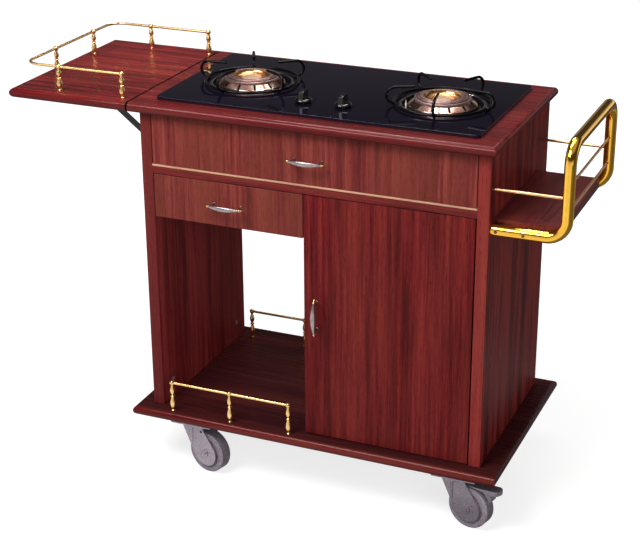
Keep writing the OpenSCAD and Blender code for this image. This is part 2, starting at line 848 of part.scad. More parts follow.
module fixing_screws() {
    color(steel_c) {
        on_cabinet() rack_screw_spots() screw(rack_screw_d, rack_screw_len, 7, 2);
        castor_screw_spots(castor_h - castor_plate_t)
            screw(castor_screw_d, castor_plate_t + castor_screw_in, 10, 2.5);
    }
}

cap_z = 45;
cap_in = 48;

module cover_caps() {
    color(grey_c) on_cabinet() for (y = [cap_in, cabinet_d - cap_in])
        rod_x(panel_t, panel_t + 2, y, cap_z, 12);
}

// Hob
knob_shift = 6;
knob_mid = glass_x + glass_w / 2 - knob_shift;
burner_xs = [glass_x + burner_in_left, glass_x + glass_w - burner_in_right];
knob_xs = [knob_mid - knob_gap / 2, knob_mid + knob_gap / 2];
glass_hole_r = pan_r - 4.5;
tray_floor_z = glass_z - tray_h + tray_t;
stem_hole_d = stem_d + 6;

module hob_glass() {
    color(black_c) on_cabinet() difference() {
        union() {
            block([glass_x + glass_r, glass_y, glass_z], [glass_x + glass_w - glass_r, glass_y + glass_d, hob_z]);
            block([glass_x, glass_y + glass_r, glass_z], [glass_x + glass_w, glass_y + glass_d - glass_r, hob_z]);
            for (x = [glass_x + glass_r, glass_x + glass_w - glass_r],
                 y = [glass_y + glass_r, glass_y + glass_d - glass_r])
                rod_z(x, y, glass_z, hob_z, 2 * glass_r);
        }
        for (x = burner_xs) rod_z(x, burner_y, glass_z - 1, hob_z + 1, 2 * glass_hole_r);
        for (x = knob_xs) rod_z(x, knob_y, glass_z - 1, hob_z + 1, stem_hole_d);
    }
}

gas_pipe_d = 12;
gas_pipe_drop = 52;
gas_pipe_z = hob_z - gas_pipe_drop;
inlet_x = (knob_xs[0] + knob_xs[1]) / 2;

module hob_tray() {
    color(steel_c) on_cabinet() difference() {
        block([tray_x, tray_y, glass_z - tray_h], [tray_x + tray_w, tray_y + tray_d, glass_z]);
        block([tray_x + tray_t, tray_y + tray_t, tray_floor_z],
            [tray_x + tray_w - tray_t, tray_y + tray_d - tray_t, glass_z + 1]);
        rod_y(inlet_x, tray_y + tray_d - 3 * tray_t, tray_y + tray_d + 1, gas_pipe_z, gas_pipe_d);
    }
}

pan_depth = 12;
pan_sheet = 1.2;
pot_r = 32;

module drip_pans() {
    outline = [[pot_r + 1, -pan_depth], [pan_r - 9, -pan_depth], [pan_r - 6.2, -2], [pan_r - 6, pan_sheet],
        [pan_r - 2, pan_sheet + 1.4], [pan_r - 0.6, pan_sheet + 1.2], [pan_r, 0.6], [pan_r, 0],
        [pan_r - 5, 0], [pan_r - 5, -2], [pan_r - 7.8, -pan_depth - pan_sheet],
        [pot_r + 1, -pan_depth - pan_sheet]];
    color(steel_c) on_cabinet() for (x = burner_xs)
        translate([x, burner_y, hob_z]) rotate_extrude($fn = 96) polygon(outline);
}

// The cone of the skirt rises to a seat that the cap rests on
skirt_top_r = skirt_r - 12.5;
skirt_low_z = 1;
seat_z = 10;
seat_r = 50;
seat_depth = 4.5;
slot_count = 12;
slot_w = 5;
port_w = 2.4;
venturi_d = 24;
venturi_len = 80;

module burner_bodies() {
    floor_z = tray_floor_z - hob_z;
    color("#a8673a") on_cabinet() for (i = [0, 1])
        translate([burner_xs[i], burner_y, hob_z]) difference() {
            union() {
                rotate_extrude($fn = 96) polygon([[0, floor_z], [pot_r, floor_z], [pot_r, -pan_depth],
                    [skirt_r, -pan_depth], [skirt_r, skirt_low_z], [skirt_top_r, seat_z],
                    [seat_r, seat_z], [seat_r, seat_z - seat_depth], [0, seat_z - seat_depth]]);
                rotate([0, 0, i == 0 ? 0 : 180])
                    rod_x(0, pot_r + venturi_len, 0, floor_z + venturi_d / 2 + 3, venturi_d);
            }
            translate([0, 0, floor_z + 3]) cylinder(r = pot_r - 4, h = seat_z - floor_z);
            rotate([0, 0, i == 0 ? 0 : 180])
                rod_x(pot_r - 6, pot_r + venturi_len + 1, 0, floor_z + venturi_d / 2 + 3, venturi_d - 4);
            for (k = [0:slot_count - 1]) rotate([0, 0, k * 360 / slot_count]) {
                block([pot_r - 5, -port_w / 2, skirt_low_z + 0.8], [skirt_r + 1, port_w / 2, seat_z - seat_depth - 0.6]);
                block([seat_r + 3, -slot_w / 2, skirt_low_z + 0.8], [skirt_r + 1, slot_w / 2, seat_z + 1]);
            }
        }
}

// Annular cap round a bowl with a raised centre plate
cap_r = 61.5;
cap_rim_h = 5.5;
bowl_r = 41;
cap_h = 9.6;

module burner_caps() {
    z = seat_z;
    outline = [[0, z - seat_depth], [seat_r - 0.5, z - seat_depth], [seat_r - 0.5, z], [cap_r, z],
        [cap_r, z + cap_rim_h - 1], [cap_r - 1, z + cap_rim_h], [bowl_r + 1, z + cap_h], [bowl_r, z + cap_h],
        [bowl_r - 3, z + 4], [bowl_r - 8, z + 0.6], [26, z], [25, z + 2.2], [12, z + 3.8], [0, z + 4.3]];
    color("#c9a08c") on_cabinet() for (x = burner_xs)
        translate([x, burner_y, hob_z]) rotate_extrude($fn = 96) polygon(outline);
}

// Wire ring with C shaped arms. turn is the direction of the first arm.
module pan_support(turn) {
    wr = wire_d / 2;
    ring_z = wr + 2;
    top_z = support_h - wr;
    hook_r = (top_z - ring_z) / 2;
    translate([0, 0, ring_z]) rotate_extrude($fn = 96) translate([support_ring_r, 0]) circle(d = wire_d, $fn = 24);
    for (k = [0:support_arms - 1]) rotate([0, 0, turn + k * 360 / support_arms]) {
        translate([support_ring_r, 0, ring_z + hook_r]) rotate([90, 0, 0]) rotate([0, 0, -90])
            rotate_extrude(angle = 180, $fn = 24) translate([hook_r, 0]) circle(d = wire_d, $fn = 24);
        rod_x(support_tip_r, support_ring_r, 0, top_z, wire_d, $fn = 24);
        translate([support_tip_r, 0, top_z]) sphere(d = wire_d, $fn = 24);
        rod_z(support_ring_r, 0, 0, ring_z, wire_d - 1, $fn = 24);
    }
}

module pan_support_left() {
    color(black_c) on_cabinet() translate([burner_xs[0], burner_y, hob_z]) pan_support(support_turn_left);
}

module pan_support_right() {
    color(black_c) on_cabinet() translate([burner_xs[1], burner_y, hob_z]) pan_support(support_turn_right);
}

igniter_r = (skirt_r + pan_r - 9) / 2;

module igniters() {
    color("#e6e0d6") on_cabinet() for (i = [0, 1])
        translate([burner_xs[i], burner_y, hob_z]) rotate([0, 0, i == 0 ? -30 : 210])
            translate([igniter_r, 0, -pan_depth]) {
                cylinder(d = 4, h = pan_depth + 6);
                translate([0, 0, pan_depth + 6]) cylinder(d = 1.6, h = 6);
            }
}

// Knobs stand off the glass by their travel
knob_z = knob_travel + 0.5;
knob_skirt_h = 7;
grip_w = 11;
stem_top = knob_z + 12;
stem_low = -34;

module knob() {
    color(black_c) difference() {
        union() {
            rotate_extrude() polygon([[0, knob_z], [knob_d / 2, knob_z], [knob_d / 2, knob_z + 2.5],
                [knob_d / 2 - 2, knob_z + 5], [knob_d / 2 - 6, knob_z + knob_skirt_h], [0, knob_z + knob_skirt_h]]);
            intersection() {
                block([-grip_w / 2, -knob_d / 2 + 1, knob_z], [grip_w / 2, knob_d / 2 - 1, knob_z + knob_h]);
                rotate_extrude() polygon([[0, knob_z], [knob_d / 2 - 2, knob_z],
                    [knob_d / 2 - 5, knob_z + knob_h - 3], [knob_d / 2 - 8, knob_z + knob_h], [0, knob_z + knob_h]]);
            }
        }
        translate([0, 0, knob_z - 1]) cylinder(d = stem_d + 2 * pin_play, h = stem_top - knob_z + 1 + pin_play);
    }
}

module knob_left() {
    on_cabinet() translate([knob_xs[0], knob_y, hob_z]) knob();
}

module knob_right() {
    on_cabinet() translate([knob_xs[1], knob_y, hob_z]) knob();
}

module valve_stem() {
    color(steel_c) translate([0, 0, stem_low]) cylinder(d = stem_d, h = stem_top - stem_low);
}

module valve_stem_left() {
    on_cabinet() translate([knob_xs[0], knob_y, hob_z]) valve_stem();
}

module valve_stem_right() {
    on_cabinet() translate([knob_xs[1], knob_y, hob_z]) valve_stem();
}

valve_w = 26;
valve_d = 30;
valve_top = -20;

module gas_valves() {
    floor_z = tray_floor_z - hob_z;
    color(brass_c) on_cabinet() for (x = knob_xs)
        translate([x, knob_y, hob_z]) difference() {
            block([-valve_w / 2, -valve_d / 2, floor_z], [valve_w / 2, valve_d / 2, valve_top]);
            translate([0, 0, stem_low - knob_travel - 1])
                cylinder(d = stem_d + 2 * pin_play, h = valve_top - stem_low + knob_travel + 2);
        }
}

// Gas pipe from the inlet spigot to the valves, and a feed pipe to each burner
feed_d = 6;
spigot_d = 10;
spigot_len = 18;

module gas_manifold() {
    y0 = knob_y - valve_d / 2 - gas_pipe_d / 2;
    tray_back = tray_y + tray_d;
    feed_z = tray_floor_z + venturi_d / 2 + 3;
    color(steel_c) on_cabinet() {
        rod_x(knob_xs[0] - valve_w / 2, inlet_x, y0, gas_pipe_z, gas_pipe_d);
        translate([inlet_x, y0, gas_pipe_z]) sphere(d = gas_pipe_d);
        rod_y(inlet_x, y0, tray_back + 2, gas_pipe_z, gas_pipe_d);
        rod_y(inlet_x, tray_back, tray_back + 2 + spigot_len, gas_pipe_z, spigot_d);
        for (i = [0, 1]) {
            s = i == 0 ? 1 : -1;
            mouth = burner_xs[i] + s * (pot_r + venturi_len - 10);
            x = i == 0 ? knob_xs[0] - valve_w / 2 + feed_d : knob_xs[1] + valve_w / 2 - feed_d;
            rod_y(x, knob_y + valve_d / 2, burner_y, feed_z, feed_d);
            rod_x(min(mouth, x), max(mouth, x), burner_y, feed_z, feed_d);
            translate([x, burner_y, feed_z]) sphere(d = feed_d);
        }
    }
}

// Castors. Each has its own frame: swivel axis at the origin, trail along +X, floor at z = 0.
castor_y0 = cabinet_y - base_over_front + castor_inset_y;
castor_y1 = cabinet_y + cabinet_d + base_over_back - castor_inset_y;
castor_x0 = cabinet_x - base_over_left + castor_inset_left;
castor_x1 = cabinet_x + cabinet_w + base_over_right - castor_inset_right;
castors = [[castor_x0, castor_y0], [castor_x1, castor_y0], [castor_x0, castor_y1], [castor_x1, castor_y1]];
wheel_r = wheel_d / 2;
crown_z = wheel_d + 9;
crown_t = 5;
crown_l = 62;
boss_h = 4;
leg_gap = tyre_w / 2 + 2;
leg_t = 2.5;
guard_r = wheel_r * 0.64;

module at_castor(i) {
    turn = i < 2 ? castor_turn_front : castor_turn_rear;
    translate([castors[i][0], castors[i][1], 0]) rotate([0, 0, turn]) children();
}

module castor_plates() {
    low = crown_z + crown_t + boss_h + run_gap;
    color(grey_c) for (p = castors) translate([p[0], p[1], 0]) {
        difference() {
            block([-50, -40, castor_h - castor_plate_t], [50, 40, castor_h]);
            for (x = [-1, 1], y = [-1, 1])
                rod_z(x * castor_hole_x / 2, y * castor_hole_y / 2,
                    castor_h - castor_plate_t - 1, castor_h + 1, castor_screw_d);
        }
        rod_z(0, 0, low, castor_h - castor_plate_t + eps, 50);
        rod_z(0, 0, crown_z - 4, castor_h - castor_plate_t, king_pin_d);
        rod_z(0, 0, crown_z - 6, crown_z - run_gap, king_pin_d + 8);
    }
}

// Direction, from circle centre c, of the point where a line from p touches the circle of radius r
function touch_angle(p, c, r, s) = atan2(p[1] - c[1], p[0] - c[0]) + s * acos(r / norm(p - c));

module fork_leg_outline() {
    c = [castor_trail, wheel_r];
    half = crown_l / 2;
    a0 = touch_angle([-half, crown_z], c, guard_r, 1);
    a1 = touch_angle([half, crown_z], c, guard_r, -1) + 360;
    n = 28;
    arc = [for (i = [0:n]) let (a = a0 + (a1 - a0) * i / n) c + guard_r * [cos(a), sin(a)]];
    polygon(concat([[half, crown_z], [half, crown_z + crown_t], [-half, crown_z + crown_t],
        [-half, crown_z]], arc));
}

module castor_fork(i) {
    out = leg_gap + leg_t;
    rib_top = crown_z + crown_t - 1;
    color(grey_c) at_castor(i) difference() {
        union() {
            block([-crown_l / 2, -out, crown_z], [crown_l / 2, out, crown_z + crown_t]);
            rod_z(0, 0, crown_z, crown_z + crown_t + boss_h, 48);
            for (s = [-1, 1]) {
                y = s < 0 ? -leg_gap : out;
                translate([0, y, 0]) rotate([90, 0, 0]) linear_extrude(leg_t) fork_leg_outline();
                translate([-2, s * out, wheel_r + 16]) cylinder(d = 6, h = rib_top - wheel_r - 16);
                translate([-2, s * out, wheel_r + 16]) sphere(d = 6);
                rod_y(castor_trail, min(s * out, s * (out + 3)), max(s * out, s * (out + 3)), wheel_r, 17);
            }
            rod_y(castor_trail, -out - 5, out + 5, wheel_r, axle_d);
        }
        translate([0, 0, crown_z - 1]) cylinder(d = king_pin_d + 2 * pin_play, h = crown_t + boss_h + 2);
        rod_y(pedal_pin[0], -out - 1, out + 1, pedal_pin[1], pedal_pin_d + 2 * pin_play);
    }
}

module castor_fork_front_left() { castor_fork(0); }
module castor_fork_front_right() { castor_fork(1); }
module castor_fork_rear_left() { castor_fork(2); }
module castor_fork_rear_right() { castor_fork(3); }

// Grooved tyre on a core that turns on the axle
tyre_in_r = wheel_r * 0.7;

module castor_wheel(i) {
    w = tyre_w / 2;
    r = wheel_r;
    nose = leg_gap - run_gap;
    core = [[axle_d / 2 + pin_play, -nose], [12, -nose], [12, -w + 4], [tyre_in_r, -w + 4],
        [tyre_in_r, w - 4], [12, w - 4], [12, nose], [axle_d / 2 + pin_play, nose]];
    tread = [for (k = [-2:2]) for (p = [[-2, 0], [-1.2, -1.6], [1.2, -1.6], [2, 0]])
        [r + (k == 0 ? p[1] * 0.6 : p[1]), k * 5 + p[0]]];
    tyre = concat([[tyre_in_r, w - 4], [tyre_in_r, -w + 4], [tyre_in_r + 3, -w], [r - 5, -w],
        [r - 1.5, -w + 1.5], [r, -w + 3.8]], tread, [[r, w - 3.8], [r - 1.5, w - 1.5], [r - 5, w], [tyre_in_r + 3, w]]);
    at_castor(i) translate([castor_trail, 0, wheel_r]) rotate([-90, 0, 0]) {
        color(grey_c) rotate_extrude($fn = 64) polygon(core);
        color("#7d7880") rotate_extrude($fn = 96) polygon(tyre);
    }
}

module castor_wheel_front_left() { castor_wheel(0); }
module castor_wheel_front_right() { castor_wheel(1); }
module castor_wheel_rear_left() { castor_wheel(2); }
module castor_wheel_rear_right() { castor_wheel(3); }

// Brake pedal on a pin through the legs, with a curved shoe that stays off the tread at rest
pedal_pin = [26, crown_z - 6];
pedal_pin_d = 6;
pedal_len = 86;
pedal_w = 28;
shoe_w = 20;
shoe_gap = 8;

module brake_pedal(i) {
    out = leg_gap + leg_t;
    tip = pedal_len - pedal_w / 2;
    wheel_at = [castor_trail - pedal_pin[0], wheel_r - pedal_pin[1]];
    color(grey_c) at_castor(i) translate([pedal_pin[0], 0, pedal_pin[1]]) {
        rod_y(0, -out, out, 0, pedal_pin_d);
        intersection() {
            translate([0, pedal_w / 2, 0]) rotate([90, 0, 0]) linear_extrude(pedal_w)
                polygon([[-2, -0.5], [-2, 2.5], [26, 2.5], [60, 6], [82, 8], [pedal_len, 5],
                    [pedal_len, -1], [80, -3], [62, -4], [54, -3], [26, -0.5]]);
            translate([0, 0, -20]) linear_extrude(40) {
                translate([-3, -pedal_w / 2]) square([tip + 3, pedal_w]);
                translate([tip, 0]) circle(d = pedal_w);
            }
        }
        color(black_c) difference() {
            translate([0, shoe_w / 2, 0]) rotate([90, 0, 0]) linear_extrude(shoe_w)
                polygon([[44, 0], [62, 0], [66, -12], [66, -22], [58, -26], [44, -16]]);
            rod_y(wheel_at[0], -shoe_w, shoe_w, wheel_at[1], 2 * (wheel_r + shoe_gap), $fn = 96);
        }
    }
}

module brake_pedal_front_right() { brake_pedal(1); }
module brake_pedal_rear_left() { brake_pedal(2); }

base_board();
end_panel_left();
end_panel_right();
divider_panel();
drawer_rail();
top_rails();
back_panel();
worktop();
gold_strip();
door();
door_handle();
door_pivots();
door_catch();
upper_drawer_front();
upper_drawer_box();
upper_drawer_handle();
lower_drawer_front();
lower_drawer_box();
lower_drawer_handle();
drawer_runners();
leaf_board();
leaf_balusters();
leaf_rail();
deck_balusters();
deck_rails();
leaf_hinge_fixed();
leaf_hinge_moving();
brace_plates();
leaf_braces();
brace_guides();
rack_shelf();
rack_tube();
rack_rods();
fixing_screws();
cover_caps();
hob_glass();
hob_tray();
drip_pans();
burner_bodies();
burner_caps();
pan_support_left();
pan_support_right();
igniters();
knob_left();
knob_right();
valve_stem_left();
valve_stem_right();
gas_valves();
gas_manifold();
castor_plates();
castor_fork_front_left();
castor_fork_front_right();
castor_fork_rear_left();
castor_fork_rear_right();
castor_wheel_front_left();
castor_wheel_front_right();
castor_wheel_rear_left();
castor_wheel_rear_right();
brake_pedal_front_right();
brake_pedal_rear_left();
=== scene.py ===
"""Looks of the flambe trolley. Sizes are in millimetres from the lower front corner of the left
end panel, unless a comment says metres. place() turns them into metres in the frame of the CAD model."""
import json
import math

import bmesh
import bpy
from mathutils import Matrix, Vector

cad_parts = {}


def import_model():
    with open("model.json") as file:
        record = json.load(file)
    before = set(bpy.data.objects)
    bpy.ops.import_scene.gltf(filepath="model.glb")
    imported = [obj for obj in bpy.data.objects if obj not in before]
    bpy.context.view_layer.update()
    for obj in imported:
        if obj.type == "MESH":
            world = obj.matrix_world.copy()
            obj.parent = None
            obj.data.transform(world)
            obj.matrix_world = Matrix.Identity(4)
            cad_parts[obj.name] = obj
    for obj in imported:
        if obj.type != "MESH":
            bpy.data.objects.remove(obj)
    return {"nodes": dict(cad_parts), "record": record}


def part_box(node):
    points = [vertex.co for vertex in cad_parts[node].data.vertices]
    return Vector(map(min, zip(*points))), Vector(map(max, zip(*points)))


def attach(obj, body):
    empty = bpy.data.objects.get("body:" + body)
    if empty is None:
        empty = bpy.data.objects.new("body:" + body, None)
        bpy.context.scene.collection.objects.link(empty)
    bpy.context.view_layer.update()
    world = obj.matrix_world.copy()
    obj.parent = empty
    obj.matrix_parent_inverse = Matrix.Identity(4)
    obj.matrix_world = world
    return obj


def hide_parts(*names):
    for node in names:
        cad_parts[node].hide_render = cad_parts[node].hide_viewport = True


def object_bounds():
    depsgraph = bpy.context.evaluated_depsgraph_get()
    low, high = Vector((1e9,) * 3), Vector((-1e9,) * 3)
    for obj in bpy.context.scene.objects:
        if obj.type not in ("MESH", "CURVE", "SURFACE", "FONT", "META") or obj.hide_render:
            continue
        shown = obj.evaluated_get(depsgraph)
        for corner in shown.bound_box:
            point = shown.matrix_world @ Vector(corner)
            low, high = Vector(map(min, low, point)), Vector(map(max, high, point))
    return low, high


MM = 0.001
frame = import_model()
cad_box = [list(corner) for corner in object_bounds()]
nodes = frame["nodes"]
bodies = frame["record"]["behaviour"]["bodies"]
body_of_node = {n: body for body, members in bodies.items() for n in members}
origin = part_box("end_panel_left")[0]


def place(x, y, z):
    return origin + Vector((x, y, z)) * MM


# Camera, in metres in the frame of the CAD model
CAMERA_AT = (1.3228, -3.0865, 1.8735)
CAMERA_AZIMUTH = math.radians(23.088)
CAMERA_ELEVATION = math.radians(22.884)
CAMERA_ROLL = math.radians(-0.314)
CAMERA_LENS = 88.2
SENSOR_WIDTH = 36


def make_camera():
    az, el, roll = CAMERA_AZIMUTH, CAMERA_ELEVATION, CAMERA_ROLL
    forward = Vector((-math.sin(az) * math.cos(el), math.cos(az) * math.cos(el), -math.sin(el)))
    flat_right = Vector((math.cos(az), math.sin(az), 0))
    flat_up = flat_right.cross(forward)
    right = flat_right * math.cos(roll) + flat_up * math.sin(roll)
    up = flat_up * math.cos(roll) - flat_right * math.sin(roll)
    data = bpy.data.cameras.new("camera")
    data.lens = CAMERA_LENS
    data.sensor_width = SENSOR_WIDTH
    cam = bpy.data.objects.new("camera", data)
    bpy.context.scene.collection.objects.link(cam)
    rows = [(right[i], up[i], -forward[i], CAMERA_AT[i]) for i in range(3)]
    cam.matrix_world = Matrix((*rows, (0, 0, 0, 1)))
    bpy.context.scene.camera = cam


# Shader building
SRGB_KNEE = 10.3


def linear(r, g, b):
    """A colour written from 0 to 255, in the linear values that shaders take."""
    def one(c):
        if c < SRGB_KNEE:
            return c / 255 / 12.92
        return ((c / 255 + 0.055) / 1.055) ** 2.4

    return one(r), one(g), one(b), 1.0


def set_inputs(tree, node, inputs):
    """Links the values that are sockets and sets the others."""
    for key, value in inputs.items():
        if isinstance(value, bpy.types.NodeSocket):
            tree.links.new(value, node.inputs[key])
        else:
            node.inputs[key].default_value = value


def make(tree, kind, inputs=None, **settings):
    node = tree.nodes.new(kind)
    for key, value in settings.items():
        setattr(node, key, value)
    set_inputs(tree, node, inputs or {})
    return node


def empty_tree(owner):
    owner.use_nodes = True
    owner.node_tree.nodes.clear()
    return owner.node_tree


def blank(name):
    """A material with a plain surface shader."""
    mat = bpy.data.materials.new(name)
    tree = empty_tree(mat)
    shader = make(tree, "ShaderNodeBsdfPrincipled")
    make(tree, "ShaderNodeOutputMaterial", {"Surface": shader.outputs[0]})
    return mat, tree, shader


def coords(tree, scale=(1, 1, 1), offset=(0, 0, 0)):
    where = make(tree, "ShaderNodeTexCoord").outputs["Object"]
    return make(tree, "ShaderNodeMapping", {
        "Vector": where, "Scale": scale, "Location": offset}).outputs[0]


def noise(tree, vector, detail, rough=0.5):
    return make(tree, "ShaderNodeTexNoise", {
        "Vector": vector, "Scale": 1.0, "Detail": detail, "Roughness": rough}).outputs["Fac"]


def ramp(tree, fac, stops):
    n = make(tree, "ShaderNodeValToRGB", {"Fac": fac})
    elements = n.color_ramp.elements
    while len(elements) < len(stops):
        elements.new(0.5)
    for element, (position, colour) in zip(elements, stops):
        element.position = position
        element.color = colour
    return n.outputs["Color"]


def spread(tree, fac, low, high, to_low, to_high):
    return make(tree, "ShaderNodeMapRange", {0: fac, 1: low, 2: high, 3: to_low, 4: to_high}).outputs[0]


def maths(tree, operation, *values):
    return make(tree, "ShaderNodeMath", dict(enumerate(values)), operation=operation).outputs[0]


def blend_colour(tree, fac, a, b, mode="MIX"):
    return make(tree, "ShaderNodeMix", {0: fac, 6: a, 7: b}, data_type="RGBA", blend_type=mode).outputs[2]


def grey(tree, value):
    return make(tree, "ShaderNodeCombineColor", {0: value, 1: value, 2: value}).outputs[0]


def fixed_grey(value):
    return value, value, value, 1


def bump(tree, height, strength, depth):
    """Relief whose depth is in metres."""
    return make(tree, "ShaderNodeBump", {
        "Height": height, "Strength": strength, "Distance": depth}).outputs[0]


# Wood shades, each a dark, a middle and a light streak
WOOD = ((78, 21, 24), (114, 34, 36), (138, 50, 46))
DOOR = ((77, 18, 21), (112, 30, 32), (136, 46, 42))
DRAWER = ((92, 34, 33), (124, 48, 45), (146, 68, 58))
TOP = ((66, 13, 15), (114, 26, 28), (152, 48, 43))
LEAF = ((72, 13, 15), (122, 25, 27), (160, 46, 42))
# Lighter copy of the wood for the left end panel: painted light inside the bay
INNER_LIT = ((92, 26, 29), (132, 40, 44), (156, 58, 56))
# Dark copy of the wood for the base board: painted shade of the bay floor and of the base's sides
BASE_SHADED = ((40, 15, 17), (62, 23, 25), (78, 30, 30))
EDGE = ((78, 12, 14), (102, 20, 23), (122, 34, 34))
RIM = ((124, 40, 39), (146, 50, 47), (164, 64, 58))
RIM_DARK = ((92, 28, 30), (108, 34, 36), (124, 46, 45))
# Darker copy of the wood for the rack shelf: painted shade under the rack
SHELF_SHADED = ((64, 17, 20), (96, 30, 33), (120, 42, 42))
PALE_WOOD = ((186, 148, 100), (205, 168, 120), (218, 184, 138))
BROWN = (122, 58, 46)

X_AXIS, Y_AXIS, Z_AXIS = 0, 1, 2
WARP_REACH = 0.02
SHADE_SPAN = 0.095
PORE_RELIEF = (0.1, 0.0002)
LACQUER_ROUGH = 0.05


def grain_scale(axis, across, along):
    """Repeats per metre: fewer along the grain's axis, which draws the pattern out."""
    return tuple(along if i == axis else across for i in range(3))


def laminate(name, axis, shades, rough, ior=1.3, seed=0.0, contrast=1.0, brown=0.3, lacquer=0.0):
    """Printed mahogany laminate: long fine streaks, broad bands, brown patches and short pores."""
    mat, tree, shader = blank(name)
    shift = (seed, seed * 0.7, seed * 1.3)
    warp = noise(tree, coords(tree, grain_scale(axis, 7, 1.6), shift), 2)
    push = make(tree, "ShaderNodeVectorMath", {0: (WARP_REACH,) * 3, "Scale": warp}, operation="SCALE")
    where = make(tree, "ShaderNodeTexCoord").outputs["Object"]
    bent = make(tree, "ShaderNodeVectorMath", {0: where, 1: push.outputs[0]}, operation="ADD").outputs[0]

    def stretched(across, along, detail, roughness=0.55):
        m = make(tree, "ShaderNodeMapping", {
            "Vector": bent, "Scale": grain_scale(axis, across, along), "Location": shift}).outputs[0]
        return noise(tree, m, detail, roughness)

    fine = stretched(125, 3.6, 5)
    broad = stretched(30, 1.0, 3)
    hair = stretched(560, 16, 3)
    pores = stretched(900, 60, 2, 0.4)
    mixed = 0.0
    for layer, share in ((fine, 0.46), (broad, 0.36), (hair, 0.18)):
        mixed = maths(tree, "MULTIPLY_ADD", layer, share, mixed)
    dark, middle, light = (linear(*shade) for shade in shades)
    half = SHADE_SPAN / contrast
    base = ramp(tree, mixed, [(0.5 - half, dark), (0.5, middle), (0.5 + half, light)])
    patches = spread(tree, stretched(15, 1.3, 2), 0.42, 0.62, 0.0, brown)
    base = blend_colour(tree, patches, base, linear(*BROWN))
    pore_mask = spread(tree, pores, 0.36, 0.44, 0.7, 1.0)
    set_inputs(tree, shader, {
        "Base Color": blend_colour(tree, 1.0, base, grey(tree, pore_mask), "MULTIPLY"),
        "Roughness": spread(tree, fine, 0.3, 0.7, rough * 0.85, rough * 1.25),
        "IOR": ior,
        "Normal": bump(tree, pores, *PORE_RELIEF),
        "Coat Weight": lacquer,
    })
    if lacquer:
        shader.inputs["Coat Roughness"].default_value = LACQUER_ROUGH
    return mat


# Strength and depth of the relief of smooth and of hammered metal
SMOOTH_RELIEF, HAMMERED_RELIEF = (0.06, 0.0002), (0.5, 0.0004)
COAT_DEPTH = 0.0003


def metal(name, colour, worn, rough, grain=(700, 700, 700), hammered=0.0, scale=60.0, share=1.0):
    """Metal with a faint change of tint and polish over its surface."""
    mat, tree, shader = blank(name)
    cloudy = noise(tree, coords(tree, (scale, scale, scale)), 4)
    fine = noise(tree, coords(tree, grain), 3)
    height, relief = fine, SMOOTH_RELIEF
    if hammered:
        height = make(tree, "ShaderNodeTexVoronoi", {
            "Vector": coords(tree), "Scale": hammered}, feature="F1").outputs["Distance"]
        relief = HAMMERED_RELIEF
    set_inputs(tree, shader, {
        "Base Color": blend_colour(tree, spread(tree, cloudy, 0.35, 0.7, 0, 1), (*colour, 1), (*worn, 1)),
        "Roughness": spread(tree, fine, 0.3, 0.7, rough * 0.75, rough * 1.35),
        "Metallic": share,
        "Normal": bump(tree, height, *relief),
    })
    return mat


def coat(name, colour, worn, rough, ior=1.45, grain=400.0, relief=0.1, speck=None):
    """Paint, enamel, plastic or rubber with a fine texture and slight blotches."""
    mat, tree, shader = blank(name)
    cloudy = noise(tree, coords(tree, (18, 18, 18)), 4)
    fine = noise(tree, coords(tree, (grain, grain, grain)), 4)
    base = blend_colour(tree, spread(tree, cloudy, 0.35, 0.68, 0, 1), linear(*colour), linear(*worn))
    if speck:
        base = blend_colour(tree, spread(tree, fine, 0.5, 0.68, 0, 1), base, linear(*speck))
    set_inputs(tree, shader, {
        "Base Color": base,
        "Roughness": spread(tree, fine, 0.3, 0.7, rough * 0.8, rough * 1.25),
        "IOR": ior,
        "Normal": bump(tree, fine, relief, COAT_DEPTH),
    })
    return mat


# Linear colour, worn colour and roughness, and what else metal() needs
METALS = {
    "tube_gold": ((1.0, 0.56, 0.08), (0.97, 0.49, 0.05), 0.1, {"share": 0.97}),
    "polished_brass": ((0.98, 0.68, 0.3), (0.9, 0.55, 0.2), 0.26, {}),
    "rod_brass": ((0.78, 0.48, 0.26), (0.6, 0.32, 0.15), 0.3, {}),
    "valve_brass": ((0.62, 0.45, 0.2), (0.5, 0.36, 0.16), 0.35, {}),
    "satin_steel": ((0.5, 0.5, 0.49), (0.4, 0.4, 0.4), 0.3, {"grain": (160, 900, 900)}),
    "engraved_steel": ((0.46, 0.39, 0.38), (0.3, 0.25, 0.25), 0.32, {"hammered": 420.0}),
    "zinc_steel": ((0.5, 0.51, 0.53), (0.4, 0.41, 0.43), 0.35, {}),
    "screw_dark": ((0.1, 0.07, 0.05), (0.2, 0.15, 0.1), 0.4, {}),
    "pan_chrome": ((0.62, 0.52, 0.52), (0.42, 0.34, 0.35), 0.16, {}),
    "skirt_chrome": ((0.82, 0.54, 0.44), (0.48, 0.22, 0.16), 0.16, {"scale": 70.0}),
    "burner_bronze": ((0.33, 0.2, 0.18), (0.14, 0.07, 0.065), 0.36,
                      {"hammered": 330.0, "scale": 260.0, "share": 0.8}),
    "burner_gold": ((0.86, 0.52, 0.22), (0.5, 0.2, 0.1), 0.25, {"hammered": 230.0, "scale": 110.0}),
    "castor_grey": ((0.46, 0.4, 0.45), (0.2, 0.16, 0.2), 0.2,
                    {"hammered": 420.0, "scale": 420.0, "share": 0.5}),
}

